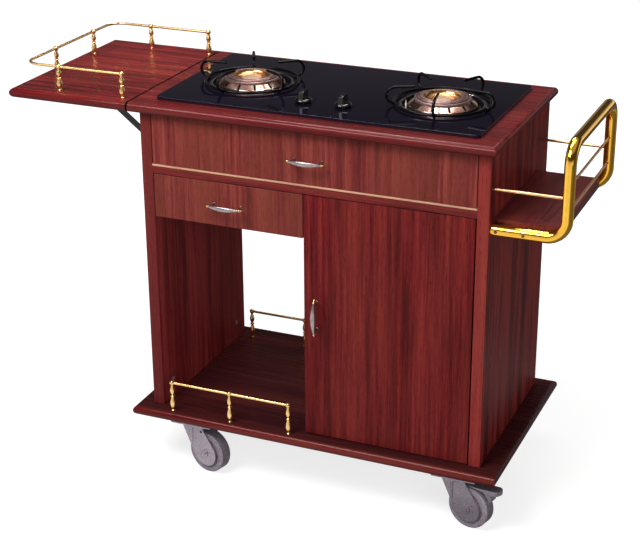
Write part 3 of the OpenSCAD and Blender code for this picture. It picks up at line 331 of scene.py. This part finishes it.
# Colour and worn colour from 0 to 255, roughness, and what else coat() needs
COATS = {
    # Near-black on the eased edges where the leaf meets the worktop: painted shade of the seam
    "joint_dark": ((16, 6, 7), (22, 9, 10), 0.7, {"ior": 1.08}),
    "strip_brass": ((214, 162, 128), (190, 138, 108), 0.34, {"ior": 1.6, "grain": 500, "relief": 0.2}),
    "black_steel": ((16, 14, 16), (22, 20, 22), 0.4, {}),
    "black_enamel": ((6, 4, 7), (10, 7, 10), 0.16, {"ior": 1.22, "grain": 260, "relief": 0.05}),
    "black_glass": ((19, 13, 27), (22, 15, 30), 0.04, {"ior": 1.5, "grain": 30, "relief": 0.0}),
    "pan_black": ((12, 10, 12), (20, 17, 19), 0.3, {}),
    # Black in the burner slots, at the foot of the skirts and in the cap grooves: painted shade
    "slot_black": ((10, 7, 8), (18, 12, 12), 0.6, {}),
    "igniter_ceramic": ((225, 220, 210), (205, 198, 186), 0.3, {}),
    "knob_black": ((7, 6, 8), (12, 10, 12), 0.18, {"ior": 1.5, "grain": 300, "relief": 0.05}),
    "castor_rubber": ((126, 116, 128), (146, 134, 146), 0.45,
                      {"ior": 1.4, "grain": 420, "relief": 0.3, "speck": (192, 182, 194)}),
    # Darker grey in the tyre grooves: painted shade
    "groove_dark": ((104, 96, 106), (120, 110, 120), 0.6, {"ior": 1.3}),
    "shoe_black": ((18, 15, 18), (30, 26, 30), 0.5, {"ior": 1.4, "grain": 500, "relief": 0.3}),
    "catch_plastic": ((214, 208, 198), (226, 220, 210), 0.4, {}),
    "cap_plastic": ((120, 100, 104), (134, 116, 120), 0.4, {}),
}

mats = {
    "drawer_wood": laminate("drawer_wood", X_AXIS, PALE_WOOD, 0.5, seed=3.1, brown=0.0),
    "rim": laminate("front_edge", Z_AXIS, RIM, 0.4, 1.2, seed=6.2, contrast=0.7),
    "rim_dark": laminate("front_edge_dark", Z_AXIS, RIM_DARK, 0.4, 1.2, seed=8.4, contrast=0.7),
    "edge_band": laminate("edge_band", X_AXIS, EDGE, 0.6, 1.1, seed=1.7, contrast=0.8, lacquer=0.25),
}
for build, looks in ((metal, METALS), (coat, COATS)):
    for name, (colour, worn, rough, other) in looks.items():
        mats[name] = build(name, colour, worn, rough, **other)


def board_wood(node, axis, seed, shades=WOOD, rough=0.36, ior=1.2, contrast=1.0, brown=0.3):
    return laminate("wood_" + node, axis, shades, rough, ior, seed, contrast, brown)


# Mesh building, with weld reaches in metres
WELD_COPY, WELD_TURNED = 0.00002, 0.000002
FLAT_ANGLE = math.radians(1)
POLE_R = 1e-6


def finish_mesh(name, bm, material, body, node, sharp=40.0, weighted=False):
    """Makes the piece, rides it on its body and lets it stand in for a CAD node, if it has one."""
    mesh = bpy.data.meshes.new(name)
    bmesh.ops.recalc_face_normals(bm, faces=bm.faces)
    bm.to_mesh(mesh)
    bm.free()
    mesh.shade_smooth()
    mesh.set_sharp_from_angle(angle=math.radians(sharp))
    for m in material if isinstance(material, list) else [material]:
        mesh.materials.append(m)
    obj = bpy.data.objects.new(name, mesh)
    bpy.context.scene.collection.objects.link(obj)
    if weighted:
        even = obj.modifiers.new("even", "WEIGHTED_NORMAL")
        even.keep_sharp = True
        graph = bpy.context.evaluated_depsgraph_get()
        obj.data = bpy.data.meshes.new_from_object(obj.evaluated_get(graph))
        obj.modifiers.clear()
    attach(obj, body)
    if node:
        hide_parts(node)
    return obj


def welded_copy(node):
    bm = bmesh.new()
    bm.from_mesh(nodes[node].data)
    bmesh.ops.remove_doubles(bm, verts=bm.verts, dist=WELD_COPY)
    bmesh.ops.dissolve_limit(bm, angle_limit=FLAT_ANGLE, verts=bm.verts, edges=bm.edges)
    return bm


def close_poles(bm):
    bmesh.ops.remove_doubles(bm, verts=bm.verts, dist=WELD_TURNED)


def sharp_edges(bm, limit):
    return [e for e in bm.edges if len(e.link_faces) == 2 and e.calc_face_angle(0) > limit]


def ease(bm, edges, width, segments, clamp=True):
    bmesh.ops.bevel(bm, geom=edges, offset=width * MM, segments=segments, affect="EDGES",
                    profile=0.5, clamp_overlap=clamp)


def bevelled(node, material, width, sharp=35.0, segments=3, paint=None, wider=None):
    """A copy of a CAD piece whose sharp edges are eased by width. wider names some edges that
    are eased by another width first, and paint gives each face its material."""
    bm = welded_copy(node)
    limit = math.radians(sharp)
    if wider:
        chosen, amount = wider
        ease(bm, [e for e in sharp_edges(bm, limit) if chosen(e)], amount, max(3, round(amount)))
    ease(bm, sharp_edges(bm, limit), width, segments)
    if paint:
        bm.normal_update()
        for face in bm.faces:
            face.material_index = paint(face)
    return finish_mesh("soft_" + node, bm, material, body_of_node[node], node, weighted=True)


def lathe(bm, outline, centre, segments, index=0, radius_at=None):
    """Turns (radius, height) points about a vertical axis through centre."""
    rings = []
    for k in range(segments):
        a = 2 * math.pi * k / segments
        ring = []
        for j, (r, z) in enumerate(outline):
            if radius_at:
                r = radius_at(a, j, r)
            ring.append(bm.verts.new(place(*centre) + Vector((r * math.cos(a), r * math.sin(a), z)) * MM))
        rings.append(ring)
    for k in range(segments):
        a, b = rings[k], rings[(k + 1) % segments]
        for j in range(len(outline) - 1):
            low_pole = outline[j][0] < POLE_R
            high_pole = outline[j + 1][0] < POLE_R
            if low_pole and high_pole:
                continue
            corners = [a[j], b[j], b[j + 1], a[j + 1]]
            if low_pole:
                corners = [a[j], b[j + 1], a[j + 1]]
            if high_pole:
                corners = [a[j], b[j], a[j + 1]]
            bm.faces.new(corners).material_index = index


def skin(bm, rings, index=0):
    """Faces between neighbouring rings, and a cap on each end."""
    for a, b in zip(rings, rings[1:]):
        sides = len(a)
        for k in range(sides):
            bm.faces.new([a[k], a[(k + 1) % sides], b[(k + 1) % sides], b[k]]).material_index = index
    for ring in (rings[0], rings[-1]):
        bm.faces.new(ring).material_index = index


def sweep(bm, points, radii, sides, index):
    """A round bar through points in metres, with one radius in millimetres for each."""
    last = len(points) - 1
    tangents = []
    for i in range(len(points)):
        tangents.append((points[min(i + 1, last)] - points[max(i - 1, 0)]).normalized())
    side = tangents[0].orthogonal().normalized()
    turns = [2 * math.pi * k / sides for k in range(sides)]
    rings = []
    for p, t, r in zip(points, tangents, radii):
        side = (side - t * side.dot(t)).normalized()
        other = t.cross(side)
        rings.append([bm.verts.new(p + (side * math.cos(q) + other * math.sin(q)) * r * MM)
                      for q in turns])
    skin(bm, rings, index)


# Boards. Normals tell a board's faces apart, and seam reaches are in metres.
BOARD, BAND, JOINT = 0, 1, 2
FRONT_NORMAL, SIDE_NORMAL, LEVEL_NORMAL = -0.5, 0.2, 0.9
SEAM_REACH = 0.0002
SEAM_EASE, ROUND_EASE = 2.2, 1.1

# Seed of the grain, shades and contrast
UPRIGHT_BOARDS = {
    "end_panel_left": (0.0, INNER_LIT, 1.0),
    "end_panel_right": (2.3, WOOD, 2.6),
    "divider_panel": (4.1, WOOD, 1.2),
}
# Direction and seed of the grain, width of the eased edges, and what else board_wood() needs
PLAIN_BOARDS = {
    "door": (Z_AXIS, 7.7, 1.0, {"shades": DOOR, "ior": 1.15, "brown": 0.2}),
    "upper_drawer_front": (Z_AXIS, 9.4, 1.0, {"shades": DRAWER, "brown": 0.6}),
    "lower_drawer_front": (Z_AXIS, 11.9, 1.0, {"shades": DRAWER, "brown": 0.6}),
    "drawer_rail": (X_AXIS, 13.0, 0.6, {}),
    "top_rails": (X_AXIS, 14.5, 0.6, {}),
    "back_panel": (Z_AXIS, 16.0, 0.4, {}),
    "rack_shelf": (Y_AXIS, 17.0, 1.0, {"shades": SHELF_SHADED, "ior": 1.3}),
}
# Seed, shades, index of refraction, contrast, and the side that meets the other board: -1 left,
# 1 right, 0 neither
ROUNDED_BOARDS = {
    "worktop": (19.0, TOP, 1.32, 0.5, -1),
    "leaf_board": (21.0, LEAF, 1.3, 0.9, 1),
    "base_board": (23.0, BASE_SHADED, 1.2, 0.45, 0),
}


def upright_boards():
    for node, (seed, shades, contrast) in UPRIGHT_BOARDS.items():
        rim = mats["rim" if node == "end_panel_right" else "rim_dark"]
        wood = board_wood(node, Z_AXIS, seed, shades, ior=1.12, contrast=contrast, brown=0.15)
        bevelled(node, [wood, rim], 0.8, paint=lambda f: 1 if f.normal.y < FRONT_NORMAL else 0)


def plain_boards():
    for node, (axis, seed, width, other) in PLAIN_BOARDS.items():
        bevelled(node, board_wood(node, axis, seed, **other), width)


def rounded_boards():
    """Boards with a glossy rounded edge. Where the leaf meets the worktop the eased edge is painted
    near-black as the seam's shade.
    """
    for node, (seed, shades, ior, contrast, facing) in ROUNDED_BOARDS.items():
        wood = board_wood(node, X_AXIS, seed, shades, 0.26, ior, contrast, 0.15)
        low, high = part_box(node)
        seam = low.x if facing < 0 else high.x

        def paint(face):
            if face.normal.x * facing > SIDE_NORMAL:
                return JOINT
            # The base board's faces that don't face the front keep its dark wood: painted shade on its
            # sides and inside the bay
            if node == "base_board" and face.normal.y > -SIDE_NORMAL:
                return BOARD
            return BOARD if abs(face.normal.z) > LEVEL_NORMAL else BAND

        def at_seam(edge):
            return facing != 0 and all(abs(v.co.x - seam) < SEAM_REACH for v in edge.verts)

        bevelled(node, [wood, mats["edge_band"], mats["joint_dark"]], ROUND_EASE, sharp=50,
                 paint=paint, wider=(at_seam, SEAM_EASE))


STRIP_FRONT, STRIP_BELOW, STRIP_ABOVE, STRIP_EASE = 0.3, 0.4, 0.7, 0.7


def trim_strip():
    """The pale strip between the drawers, a little taller than its backing."""
    low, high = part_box("gold_strip")
    bm = bmesh.new()
    ends = ((low.x, high.x), (low.y - STRIP_FRONT * MM, high.y),
            (low.z - STRIP_BELOW * MM, high.z + STRIP_ABOVE * MM))
    bmesh.ops.create_cube(bm, size=1.0)
    for v in bm.verts:
        v.co = Vector([ends[i][0] if v.co[i] < 0 else ends[i][1] for i in range(3)])
    ease(bm, list(bm.edges), STRIP_EASE, 3, clamp=False)
    finish_mesh("trim_strip", bm, mats["strip_brass"], "root", "gold_strip",
                weighted=True)


# Handles: a bowed bar with turned collars and pointed ends on two posts
HANDLE_CENTRES, HANDLE_TIP, TIP_CONE = 64, 14, 9
HANDLE_REACH, HANDLE_SAG = 27, 7
BAR_STEPS, BAR_SIDES = 40, 28
# Half the bar's height and depth at its ends, and what its middle adds
BAR_TALL, BAR_DEEP = (2.4, 3.3), (2.0, 1.4)
BAR_FULLNESS = 1.3
# Distance along the bar from its end, and radius
TIP_OUTLINE = [(-1.0, 2.4), (-0.9, 3.0), (0, 3.2), (0.9, 3.0), (1.1, 2.4), (1.8, 2.1),
               (2.6, 2.5), (3.6, 2.3), (5.6, 1.6), (7.6, 1.0), (9.0, 0.4)]
# Place of the handle's middle, and whether it stands upright
HANDLES = {
    "upper_drawer_handle": ((400, 0, 652.25), False),
    "lower_drawer_handle": ((208, 0, 524), False),
    "door_handle": ((419, 0, 297.6), True),
}


def bow_handle(node, centre, upright):
    half = HANDLE_CENTRES / 2 + HANDLE_TIP - TIP_CONE
    bow = (half ** 2 + HANDLE_SAG ** 2) / (2 * HANDLE_SAG)
    end_angle = math.asin(half / bow)

    def world(u, v, w):
        if upright:
            return place(centre[0] + w, centre[1] + v, centre[2] + u)
        return place(centre[0] + u, centre[1] + v, centre[2] + w)

    def on_bow(a, extra=0.0, out=0.0, w=0.0):
        u = (bow + out) * math.sin(a) + extra * math.cos(a)
        v = bow - HANDLE_REACH - (bow + out) * math.cos(a) + extra * math.sin(a)
        return world(u, v, w)

    bm = bmesh.new()
    turns = [2 * math.pi * k / BAR_SIDES for k in range(BAR_SIDES)]
    rings = []
    for i in range(BAR_STEPS + 1):
        t = 2 * i / BAR_STEPS - 1
        swell = math.cos(math.pi * t / 2)
        tall = BAR_TALL[0] + BAR_TALL[1] * swell ** BAR_FULLNESS
        deep = BAR_DEEP[0] + BAR_DEEP[1] * swell
        a = end_angle * t
        rings.append([bm.verts.new(on_bow(a, 0, deep * math.cos(q), tall * math.sin(q))) for q in turns])
    skin(bm, rings)
    post = math.asin(HANDLE_CENTRES / 2 / bow)
    top = bow - HANDLE_REACH - bow * math.cos(post)
    post_outline = [(0, 3.6), (-1.2, 3.6), (-1.8, 3.0), (-3.0, 2.5), (top * 0.5, 2.3), (top + 3, 2.4),
                    (top, 2.4)]
    for s in (-1, 1):
        tip = [on_bow(s * end_angle, s * t) for t, _ in TIP_OUTLINE]
        sweep(bm, tip, [r for _, r in TIP_OUTLINE], 24, 1)
        u = s * HANDLE_CENTRES / 2
        sweep(bm, [world(u, v, 0) for v, _ in post_outline], [r for _, r in post_outline], 20, 2)
    finish_mesh("bow_" + node, bm, [mats["engraved_steel"], mats["polished_brass"], mats["satin_steel"]],
                body_of_node[node], node)


def handles():
    for node, (centre, upright) in HANDLES.items():
        bow_handle(node, centre, upright)


# Galleries
BALL_R, NECK_R = 6.0, 3.1
VASE_STEPS, BALL_STEPS = 14, 14
VASE_LEAN, VASE_FULLNESS = 0.8, 1.3
LEAF_POSTS = [(-43.6, 6), (-202.6, 6), (-31.6, 402), (-186.6, 402), (-290.6, 138), (-290.6, 306)]
DECK_POSTS = [(x, y) for y in (-18, 415) for x in (60, 207, 354)]
# Places of the posts, height of what they stand on, and height of a post
GALLERIES = {
    "leaf_balusters": (LEAF_POSTS, 738, 60),
    "deck_balusters": (DECK_POSTS, 0, 78),
}


def vase(thin, swell, start, length, stem):
    """Outline of a turned vase: radius at its ends, what its belly adds, and its share of the stem."""
    outline = []
    for i in range(VASE_STEPS + 1):
        t = i / VASE_STEPS
        belly = math.sin(math.pi * t ** VASE_LEAN) ** VASE_FULLNESS
        outline.append((thin + swell * belly, stem * (start + length * t)))
    return outline


def baluster_outline(h):
    """Turned post: foot, lower vase, ring, upper vase, neck and a ball that holds the rod."""
    stem = h - BALL_R
    foot = [(0, 0), (4.6, 0), (4.9, 0.8), (4.6, 1.6), (3.6, 2.2), (3.2, 2.6)]
    ring = [(3.4, stem * 0.495), (4.9, stem * 0.505), (5.3, stem * 0.52), (4.9, stem * 0.535),
            (3.2, stem * 0.545), (3.4, stem * 0.555)]
    start = math.asin(NECK_R / BALL_R)
    collar = [(2.6, stem * 0.915), (3.5, stem - 6.6), (3.6, stem - 6.0),
              (NECK_R, stem - BALL_R * math.cos(start))]
    ball = []
    for i in range(1, BALL_STEPS):
        a = start + (math.pi - start) * i / BALL_STEPS
        ball.append((BALL_R * math.sin(a), stem - BALL_R * math.cos(a)))
    ball.append((0, stem + BALL_R))
    return (foot + vase(3.2, 3.6, 0.06, 0.43, stem) + ring + vase(2.6, 3.2, 0.565, 0.345, stem)
            + collar + ball)


def galleries():
    for node, (posts, z, h) in GALLERIES.items():
        bm = bmesh.new()
        for x, y in posts:
            lathe(bm, baluster_outline(h), (x, y, z), 40)
        close_poles(bm)
        finish_mesh("turned_" + node, bm, mats["polished_brass"], body_of_node[node], node,
                    50)


# Hob. Outlines are (radius, height above the glass).
GLASS_TOP, GLASS_BACK, GLASS_REACH = 745.0, 380, 7.0
GLASS_EASE, GLASS_CORNER = 1.2, 11.0
BURNER_CENTRES = [(x, 203.0, GLASS_TOP) for x in (177.0, 627.0)]
SLOTS, PER_SLOT, SLOT_R, SLOT_TOP = 12, 30, 60.0, 9.9
# Half a slot's width as a share of the pitch, and enough more to take in its side walls
SLOT_HALF, SLOT_WALLS_HALF = 0.08, 0.09
SKIRT_REACH, SKIRT_FOOT = 80, 0.4
SKIRT = [(75.2, -12), (75.2, 0.6), (74.8, 1.4), (73.8, 2.2), (70.7, 4.4), (67.6, 6.6), (64.8, 8.6),
         (63.4, 9.6), (62.6, 10.1), (58, 10.1)]
CAP_OUTER = [(61.8, 10.1), (61.9, 14.2), (61.5, 15.1), (60.5, 15.7), (57.4, 16.4), (56.8, 16.2)]
CAP_GROOVE = [(56.8, 16.2), (56.4, 14.9), (54.6, 14.9), (54.3, 16.7)]
CAP_INNER = [(54.3, 16.7), (53.7, 17.4), (51.6, 17.9), (50.9, 17.7), (50.5, 16.9), (49.7, 16.9),
             (49.3, 17.9), (48.6, 18.5), (46.4, 19.1), (43.4, 19.6), (42.0, 19.7), (41.3, 19.3)]
CAP_BOWL = [(41.3, 19.3), (40.9, 17.8), (40.2, 15.6), (38.9, 13.2), (36.8, 11.4), (34.0, 10.5),
            (30.6, 10.1), (24.6, 10.0), (21.6, 10.2)]
CAP_MIDDLE = [(21.6, 10.2), (21.2, 11.6), (20.2, 12.3), (16, 12.9), (11, 13.4), (5, 13.7), (0, 13.8)]
PAN_RIM = [(94.0, 0.02), (94.05, 0.7), (93.5, 1.5), (92.2, 2.3), (90.6, 2.5), (89.0, 2.1), (88.1, 1.2)]
PAN_WELL = [(88.1, 1.2), (87.8, -0.6), (87.4, -3.0), (86.0, -8.0), (84.6, -11.2), (82.6, -12.0),
            (33, -12.0)]


def off_slot(angle):
    """How far an angle is from the middle of the nearest slot, as a share of the pitch."""
    return abs((angle * SLOTS / (2 * math.pi) + 0.5) % 1.0 - 0.5)


def burner_skirts():
    """Bright skirts with slots all round. The slots and the foot of each skirt are painted black as their
    shade.
    """
    def notch(angle, point, r):
        return min(r, SLOT_R) if off_slot(angle) < SLOT_HALF and point >= 2 else r

    bm = bmesh.new()
    for centre in BURNER_CENTRES:
        lathe(bm, SKIRT, centre, SLOTS * PER_SLOT, 0, notch)
    for face in bm.faces:
        middle = face.calc_center_median()
        for centre in BURNER_CENTRES:
            out = (middle - place(*centre)) / MM
            if math.hypot(out.x, out.y) < SKIRT_REACH:
                in_slot = off_slot(math.atan2(out.y, out.x)) < SLOT_WALLS_HALF
                if out.z < SKIRT_FOOT or (in_slot and out.z < SLOT_TOP):
                    face.material_index = 1
    finish_mesh("burner_skirts", bm, [mats["skirt_chrome"], mats["slot_black"]], "root", None,
                30)


def burner_caps():
    """Stepped cap rings with a groove painted black as its shade, a gold bowl and a fine perforated
    middle.
    """
    bm = bmesh.new()
    for centre in BURNER_CENTRES:
        for outline, index in ((CAP_OUTER, 0), (CAP_GROOVE, 3), (CAP_INNER, 0), (CAP_BOWL, 1),
                               (CAP_MIDDLE, 2)):
            lathe(bm, outline, centre, 96, index)
    close_poles(bm)
    finish_mesh("burner_cap_rings", bm,
                [mats["burner_bronze"], mats["burner_gold"], perforated(), mats["slot_black"]],
                "root", "burner_caps", 38)


def perforated():
    """Pale metal gauze with rows of small holes, painted as dark spots of shade."""
    mat, tree, shader = blank("burner_gauze")
    holes = make(tree, "ShaderNodeTexVoronoi", {
        "Vector": coords(tree, (1, 1, 0)), "Scale": 430.0, "Randomness": 0.35}).outputs["Distance"]
    mask = spread(tree, holes, 0.22, 0.36, 0, 1)
    set_inputs(tree, shader, {
        "Base Color": blend_colour(tree, mask, linear(96, 62, 44), linear(226, 190, 160)),
        "Metallic": 0.6,
        "Roughness": 0.4,
        "Normal": bump(tree, mask, 0.6, 0.0004),
    })
    return mat


def drip_pans():
    """Rolled bright rim outside a black enamelled well."""
    bm = bmesh.new()
    for centre in BURNER_CENTRES:
        lathe(bm, PAN_RIM, centre, 120, 0)
        lathe(bm, PAN_WELL, centre, 120, 1)
    close_poles(bm)
    finish_mesh("drip_pan_shells", bm, [mats["pan_chrome"], mats["pan_black"]], "root", "drip_pans")


def hob_glass():
    """The glass with rounded corners. Its back edge reaches a little further than its solid."""
    low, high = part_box("hob_glass")

    def at_corner(edge):
        a, b = edge.verts
        upright = max(abs(a.co.x - b.co.x), abs(a.co.y - b.co.y)) < 0.0001
        at_side = min(a.co.x - low.x, high.x - a.co.x) < 0.0005
        at_end = min(a.co.y - low.y, high.y - a.co.y) < 0.0005
        return upright and at_side and at_end

    glass = bevelled("hob_glass", mats["black_glass"], GLASS_EASE, segments=4,
                     wider=(at_corner, GLASS_CORNER))
    for v in glass.data.vertices:
        if v.co.y > place(0, GLASS_BACK, 0).y:
            v.co.y += GLASS_REACH * MM


def hob():
    hob_glass()
    burner_skirts()
    burner_caps()
    drip_pans()
    for side in ("left", "right"):
        bevelled("knob_" + side, mats["knob_black"], 0.9, sharp=30)


# Castors
WHEEL_R, TREAD_HALF = 50.0, 12.4
GROOVE_FLOOR, GROOVE_MOUTH = WHEEL_R - 2.5, WHEEL_R - 0.4
TURN_FRONT, TURN_REAR = math.radians(-14), math.radians(168)
CASTOR_TURNS = {"front_left": TURN_FRONT, "front_right": TURN_FRONT,
                "rear_left": TURN_REAR, "rear_right": TURN_REAR}
BRAKED = ("front_right", "rear_left")


def wheels():
    """Copies of the wheels with their tread grooves painted a darker grey as their shade."""
    for name, turn in CASTOR_TURNS.items():
        node = "castor_wheel_" + name
        low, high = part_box(node)
        centre = (low + high) / 2
        axle = Vector((-math.sin(turn), math.cos(turn), 0))

        def paint(face):
            away = (face.calc_center_median() - centre) / MM
            along = away.dot(axle)
            radius = (away - axle * along).length
            return 1 if GROOVE_FLOOR < radius < GROOVE_MOUTH and abs(along) < TREAD_HALF else 0

        bevelled(node, [mats["castor_rubber"], mats["groove_dark"]], 0.25, sharp=60,
                 segments=1, paint=paint)


def castors():
    wheels()
    grey_metal = mats["castor_grey"]
    for name in CASTOR_TURNS:
        bevelled("castor_fork_" + name, grey_metal, 0.7, sharp=50)
    bevelled("castor_plates", grey_metal, 0.5, sharp=50)
    for name in BRAKED:
        bevelled("brake_pedal_" + name, [grey_metal, mats["shoe_black"]], 0.7, sharp=40)


# CAD pieces whose shape is right keep it and only get their look
KEPT = {
    "door_pivots": "zinc_steel", "door_catch": "catch_plastic",
    "upper_drawer_box": "drawer_wood", "lower_drawer_box": "drawer_wood", "drawer_runners": "zinc_steel",
    "leaf_rail": "polished_brass", "deck_rails": "polished_brass", "leaf_hinge_fixed": "polished_brass",
    "leaf_hinge_moving": "polished_brass", "brace_plates": "black_steel", "leaf_braces": "black_steel",
    "brace_guides": "black_steel", "rack_tube": "tube_gold", "rack_rods": "rod_brass",
    "fixing_screws": "screw_dark", "cover_caps": "cap_plastic", "hob_tray": "satin_steel",
    "burner_bodies": "skirt_chrome", "igniters": "igniter_ceramic",
    "pan_support_left": "black_enamel", "pan_support_right": "black_enamel",
    "valve_stem_left": "satin_steel", "valve_stem_right": "satin_steel",
    "gas_valves": "valve_brass", "gas_manifold": "zinc_steel",
}


def kept_nodes():
    for node, mat in KEPT.items():
        piece = nodes[node]
        if not piece.material_slots:
            piece.data.materials.append(mats[mat])
        for s in piece.material_slots:
            s.link = "OBJECT"
            s.material = mats[mat]


# Stage, in metres: a pale floor that keeps a soft shadow, a dim room with bright sides, and soft lamps
FLOOR_HALF = 9.0
FLOOR_GREY, FLOOR_GREY_MIRRORED = 0.42, 0.14
# The floor glows less near the trolley, where its shadow falls: distance, then strength
GLOW_NEAR, GLOW_FAR = (0.6, 0.78), (1.7, 1.0)
# Brightness round the room, from behind the trolley past its left, front and right sides
WALLS = [(0.0, 0.28), (0.12, 0.35), (0.19, 1.0), (0.29, 1.0), (0.34, 0.7), (0.52, 0.85), (0.58, 0.75),
         (0.62, 0.08), (0.74, 0.08), (0.78, 0.85), (0.9, 0.85), (0.95, 0.28), (1.0, 0.28)]
FLOOR_SHEEN = [(0.0, 0.1), (0.16, 0.25), (0.24, 1.0), (0.35, 1.0), (0.41, 0.8), (0.54, 0.85),
               (0.58, 0.06), (0.74, 0.06), (0.79, 0.3), (0.83, 0.02), (1.0, 0.02)]
CEILING, ZENITH = 0.03, 0.42
# Heights of the view direction over which the walls fade and the zenith brightens
WALL_FADE, ZENITH_FADE = (0.1, 0.3), (0.62, 0.8)
ROOM_LEVEL = 0.15
WHITE = (1, 1, 1, 1)


def seen_directly(tree):
    path = make(tree, "ShaderNodeLightPath").outputs
    return maths(tree, "MAXIMUM", path["Is Camera Ray"], path["Is Transmission Ray"])


def in_reflections(tree):
    return make(tree, "ShaderNodeLightPath").outputs["Is Glossy Ray"]


def around_ramp(tree, vector, stops):
    """Brightness by the direction seen from the middle of the room, starting behind the trolley."""
    turned = make(tree, "ShaderNodeVectorRotate", {"Vector": vector, "Angle": -CAMERA_AZIMUTH},
                  rotation_type="Z_AXIS").outputs[0]
    flat = make(tree, "ShaderNodeSeparateXYZ", {0: turned}).outputs
    angle = maths(tree, "ARCTAN2", flat["X"], maths(tree, "MULTIPLY", flat["Y"], -1.0))
    around = spread(tree, angle, -math.pi, math.pi, 0.0, 1.0)
    return ramp(tree, around, [(at, fixed_grey(v)) for at, v in stops])


def make_floor():
    bm = bmesh.new()
    z = cad_box[0][2]
    corners = ((-1, -1), (1, -1), (1, 1), (-1, 1))
    bm.faces.new([bm.verts.new((x * FLOOR_HALF, y * FLOOR_HALF, z)) for x, y in corners])
    mesh = bpy.data.meshes.new("floor")
    bm.to_mesh(mesh)
    bm.free()
    mat = bpy.data.materials.new("floor_white")
    tree = empty_tree(mat)
    mirrored = in_reflections(tree)
    shade = blend_colour(tree, mirrored, fixed_grey(FLOOR_GREY), fixed_grey(FLOOR_GREY_MIRRORED))
    matte = make(tree, "ShaderNodeBsdfDiffuse", {"Color": shade})
    away = make(tree, "ShaderNodeVectorMath", {0: coords(tree)}, operation="LENGTH").outputs["Value"]
    paler = spread(tree, away, GLOW_NEAR[0], GLOW_FAR[0], GLOW_NEAR[1], GLOW_FAR[1])
    lift = maths(tree, "MULTIPLY", seen_directly(tree), paler)
    lift = maths(tree, "MULTIPLY_ADD", mirrored, around_ramp(tree, coords(tree), FLOOR_SHEEN), lift)
    glow = make(tree, "ShaderNodeEmission", {"Color": WHITE, "Strength": lift})
    both = make(tree, "ShaderNodeAddShader", {0: matte.outputs[0], 1: glow.outputs[0]})
    make(tree, "ShaderNodeOutputMaterial", {"Surface": both.outputs[0]})
    mesh.materials.append(mat)
    floor = bpy.data.objects.new("floor", mesh)
    bpy.context.scene.collection.objects.link(floor)


def make_world():
    """White to the eye. Reflections see walls of uneven brightness under a dark ceiling."""
    world = bpy.data.worlds.new("studio")
    bpy.context.scene.world = world
    tree = empty_tree(world)
    direction = make(tree, "ShaderNodeTexCoord").outputs["Generated"]
    height = make(tree, "ShaderNodeSeparateXYZ", {0: direction}).outputs["Z"]
    walls = around_ramp(tree, direction, WALLS)
    above_walls = spread(tree, height, *WALL_FADE, 0.0, 1.0)
    overhead = grey(tree, spread(tree, height, *ZENITH_FADE, CEILING, ZENITH))
    room = blend_colour(tree, above_walls, walls, overhead)
    level = blend_colour(tree, in_reflections(tree), fixed_grey(ROOM_LEVEL), room)
    final = blend_colour(tree, seen_directly(tree), level, WHITE)
    back = make(tree, "ShaderNodeBackground", {"Color": final, "Strength": 1.0})
    make(tree, "ShaderNodeOutputWorld", {"Surface": back.outputs[0]})


def area_lamp(name, at, target, size, power, glossy=True, diffuse=True):
    data = bpy.data.lights.new(name, "AREA")
    data.shape = "RECTANGLE"
    data.size, data.size_y = size
    data.energy = power
    lamp = bpy.data.objects.new(name, data)
    lamp.location = at
    lamp.rotation_euler = (Vector(target) - Vector(at)).to_track_quat("-Z", "Y").to_euler()
    lamp.visible_camera = False
    lamp.visible_glossy = glossy
    lamp.visible_diffuse = diffuse
    bpy.context.scene.collection.objects.link(lamp)


def make_lights():
    """Four soft lamps, and two that show only as glints in the burners and on the worktop's edge."""
    centre = (0, 0, 0.5)
    area_lamp("key", (-0.7, -1.6, 2.5), centre, (1.6, 1.0), 62)
    area_lamp("fill", (2.6, -2.6, 1.5), centre, (1.4, 1.4), 34, glossy=False)
    area_lamp("top", (0.2, 0.6, 3.0), centre, (1.4, 1.0), 14)
    area_lamp("rear", (0.3, 3.2, 1.7), centre, (1.4, 1.0), 22, glossy=False)
    area_lamp("hob_glint", (0.18, -0.16, 1.75), (0.08, -0.01, 0.9), (0.45, 0.3), 5, diffuse=False)
    area_lamp("edge_glint", (-0.45, 1.3, 2.6), (0.35, -0.25, 0.9), (0.9, 0.2), 12, diffuse=False)


make_camera()
upright_boards()
plain_boards()
rounded_boards()
trim_strip()
handles()
galleries()
hob()
castors()
kept_nodes()
make_floor()
make_world()
make_lights()
scene = bpy.context.scene
scene.view_settings.view_transform = "Standard"
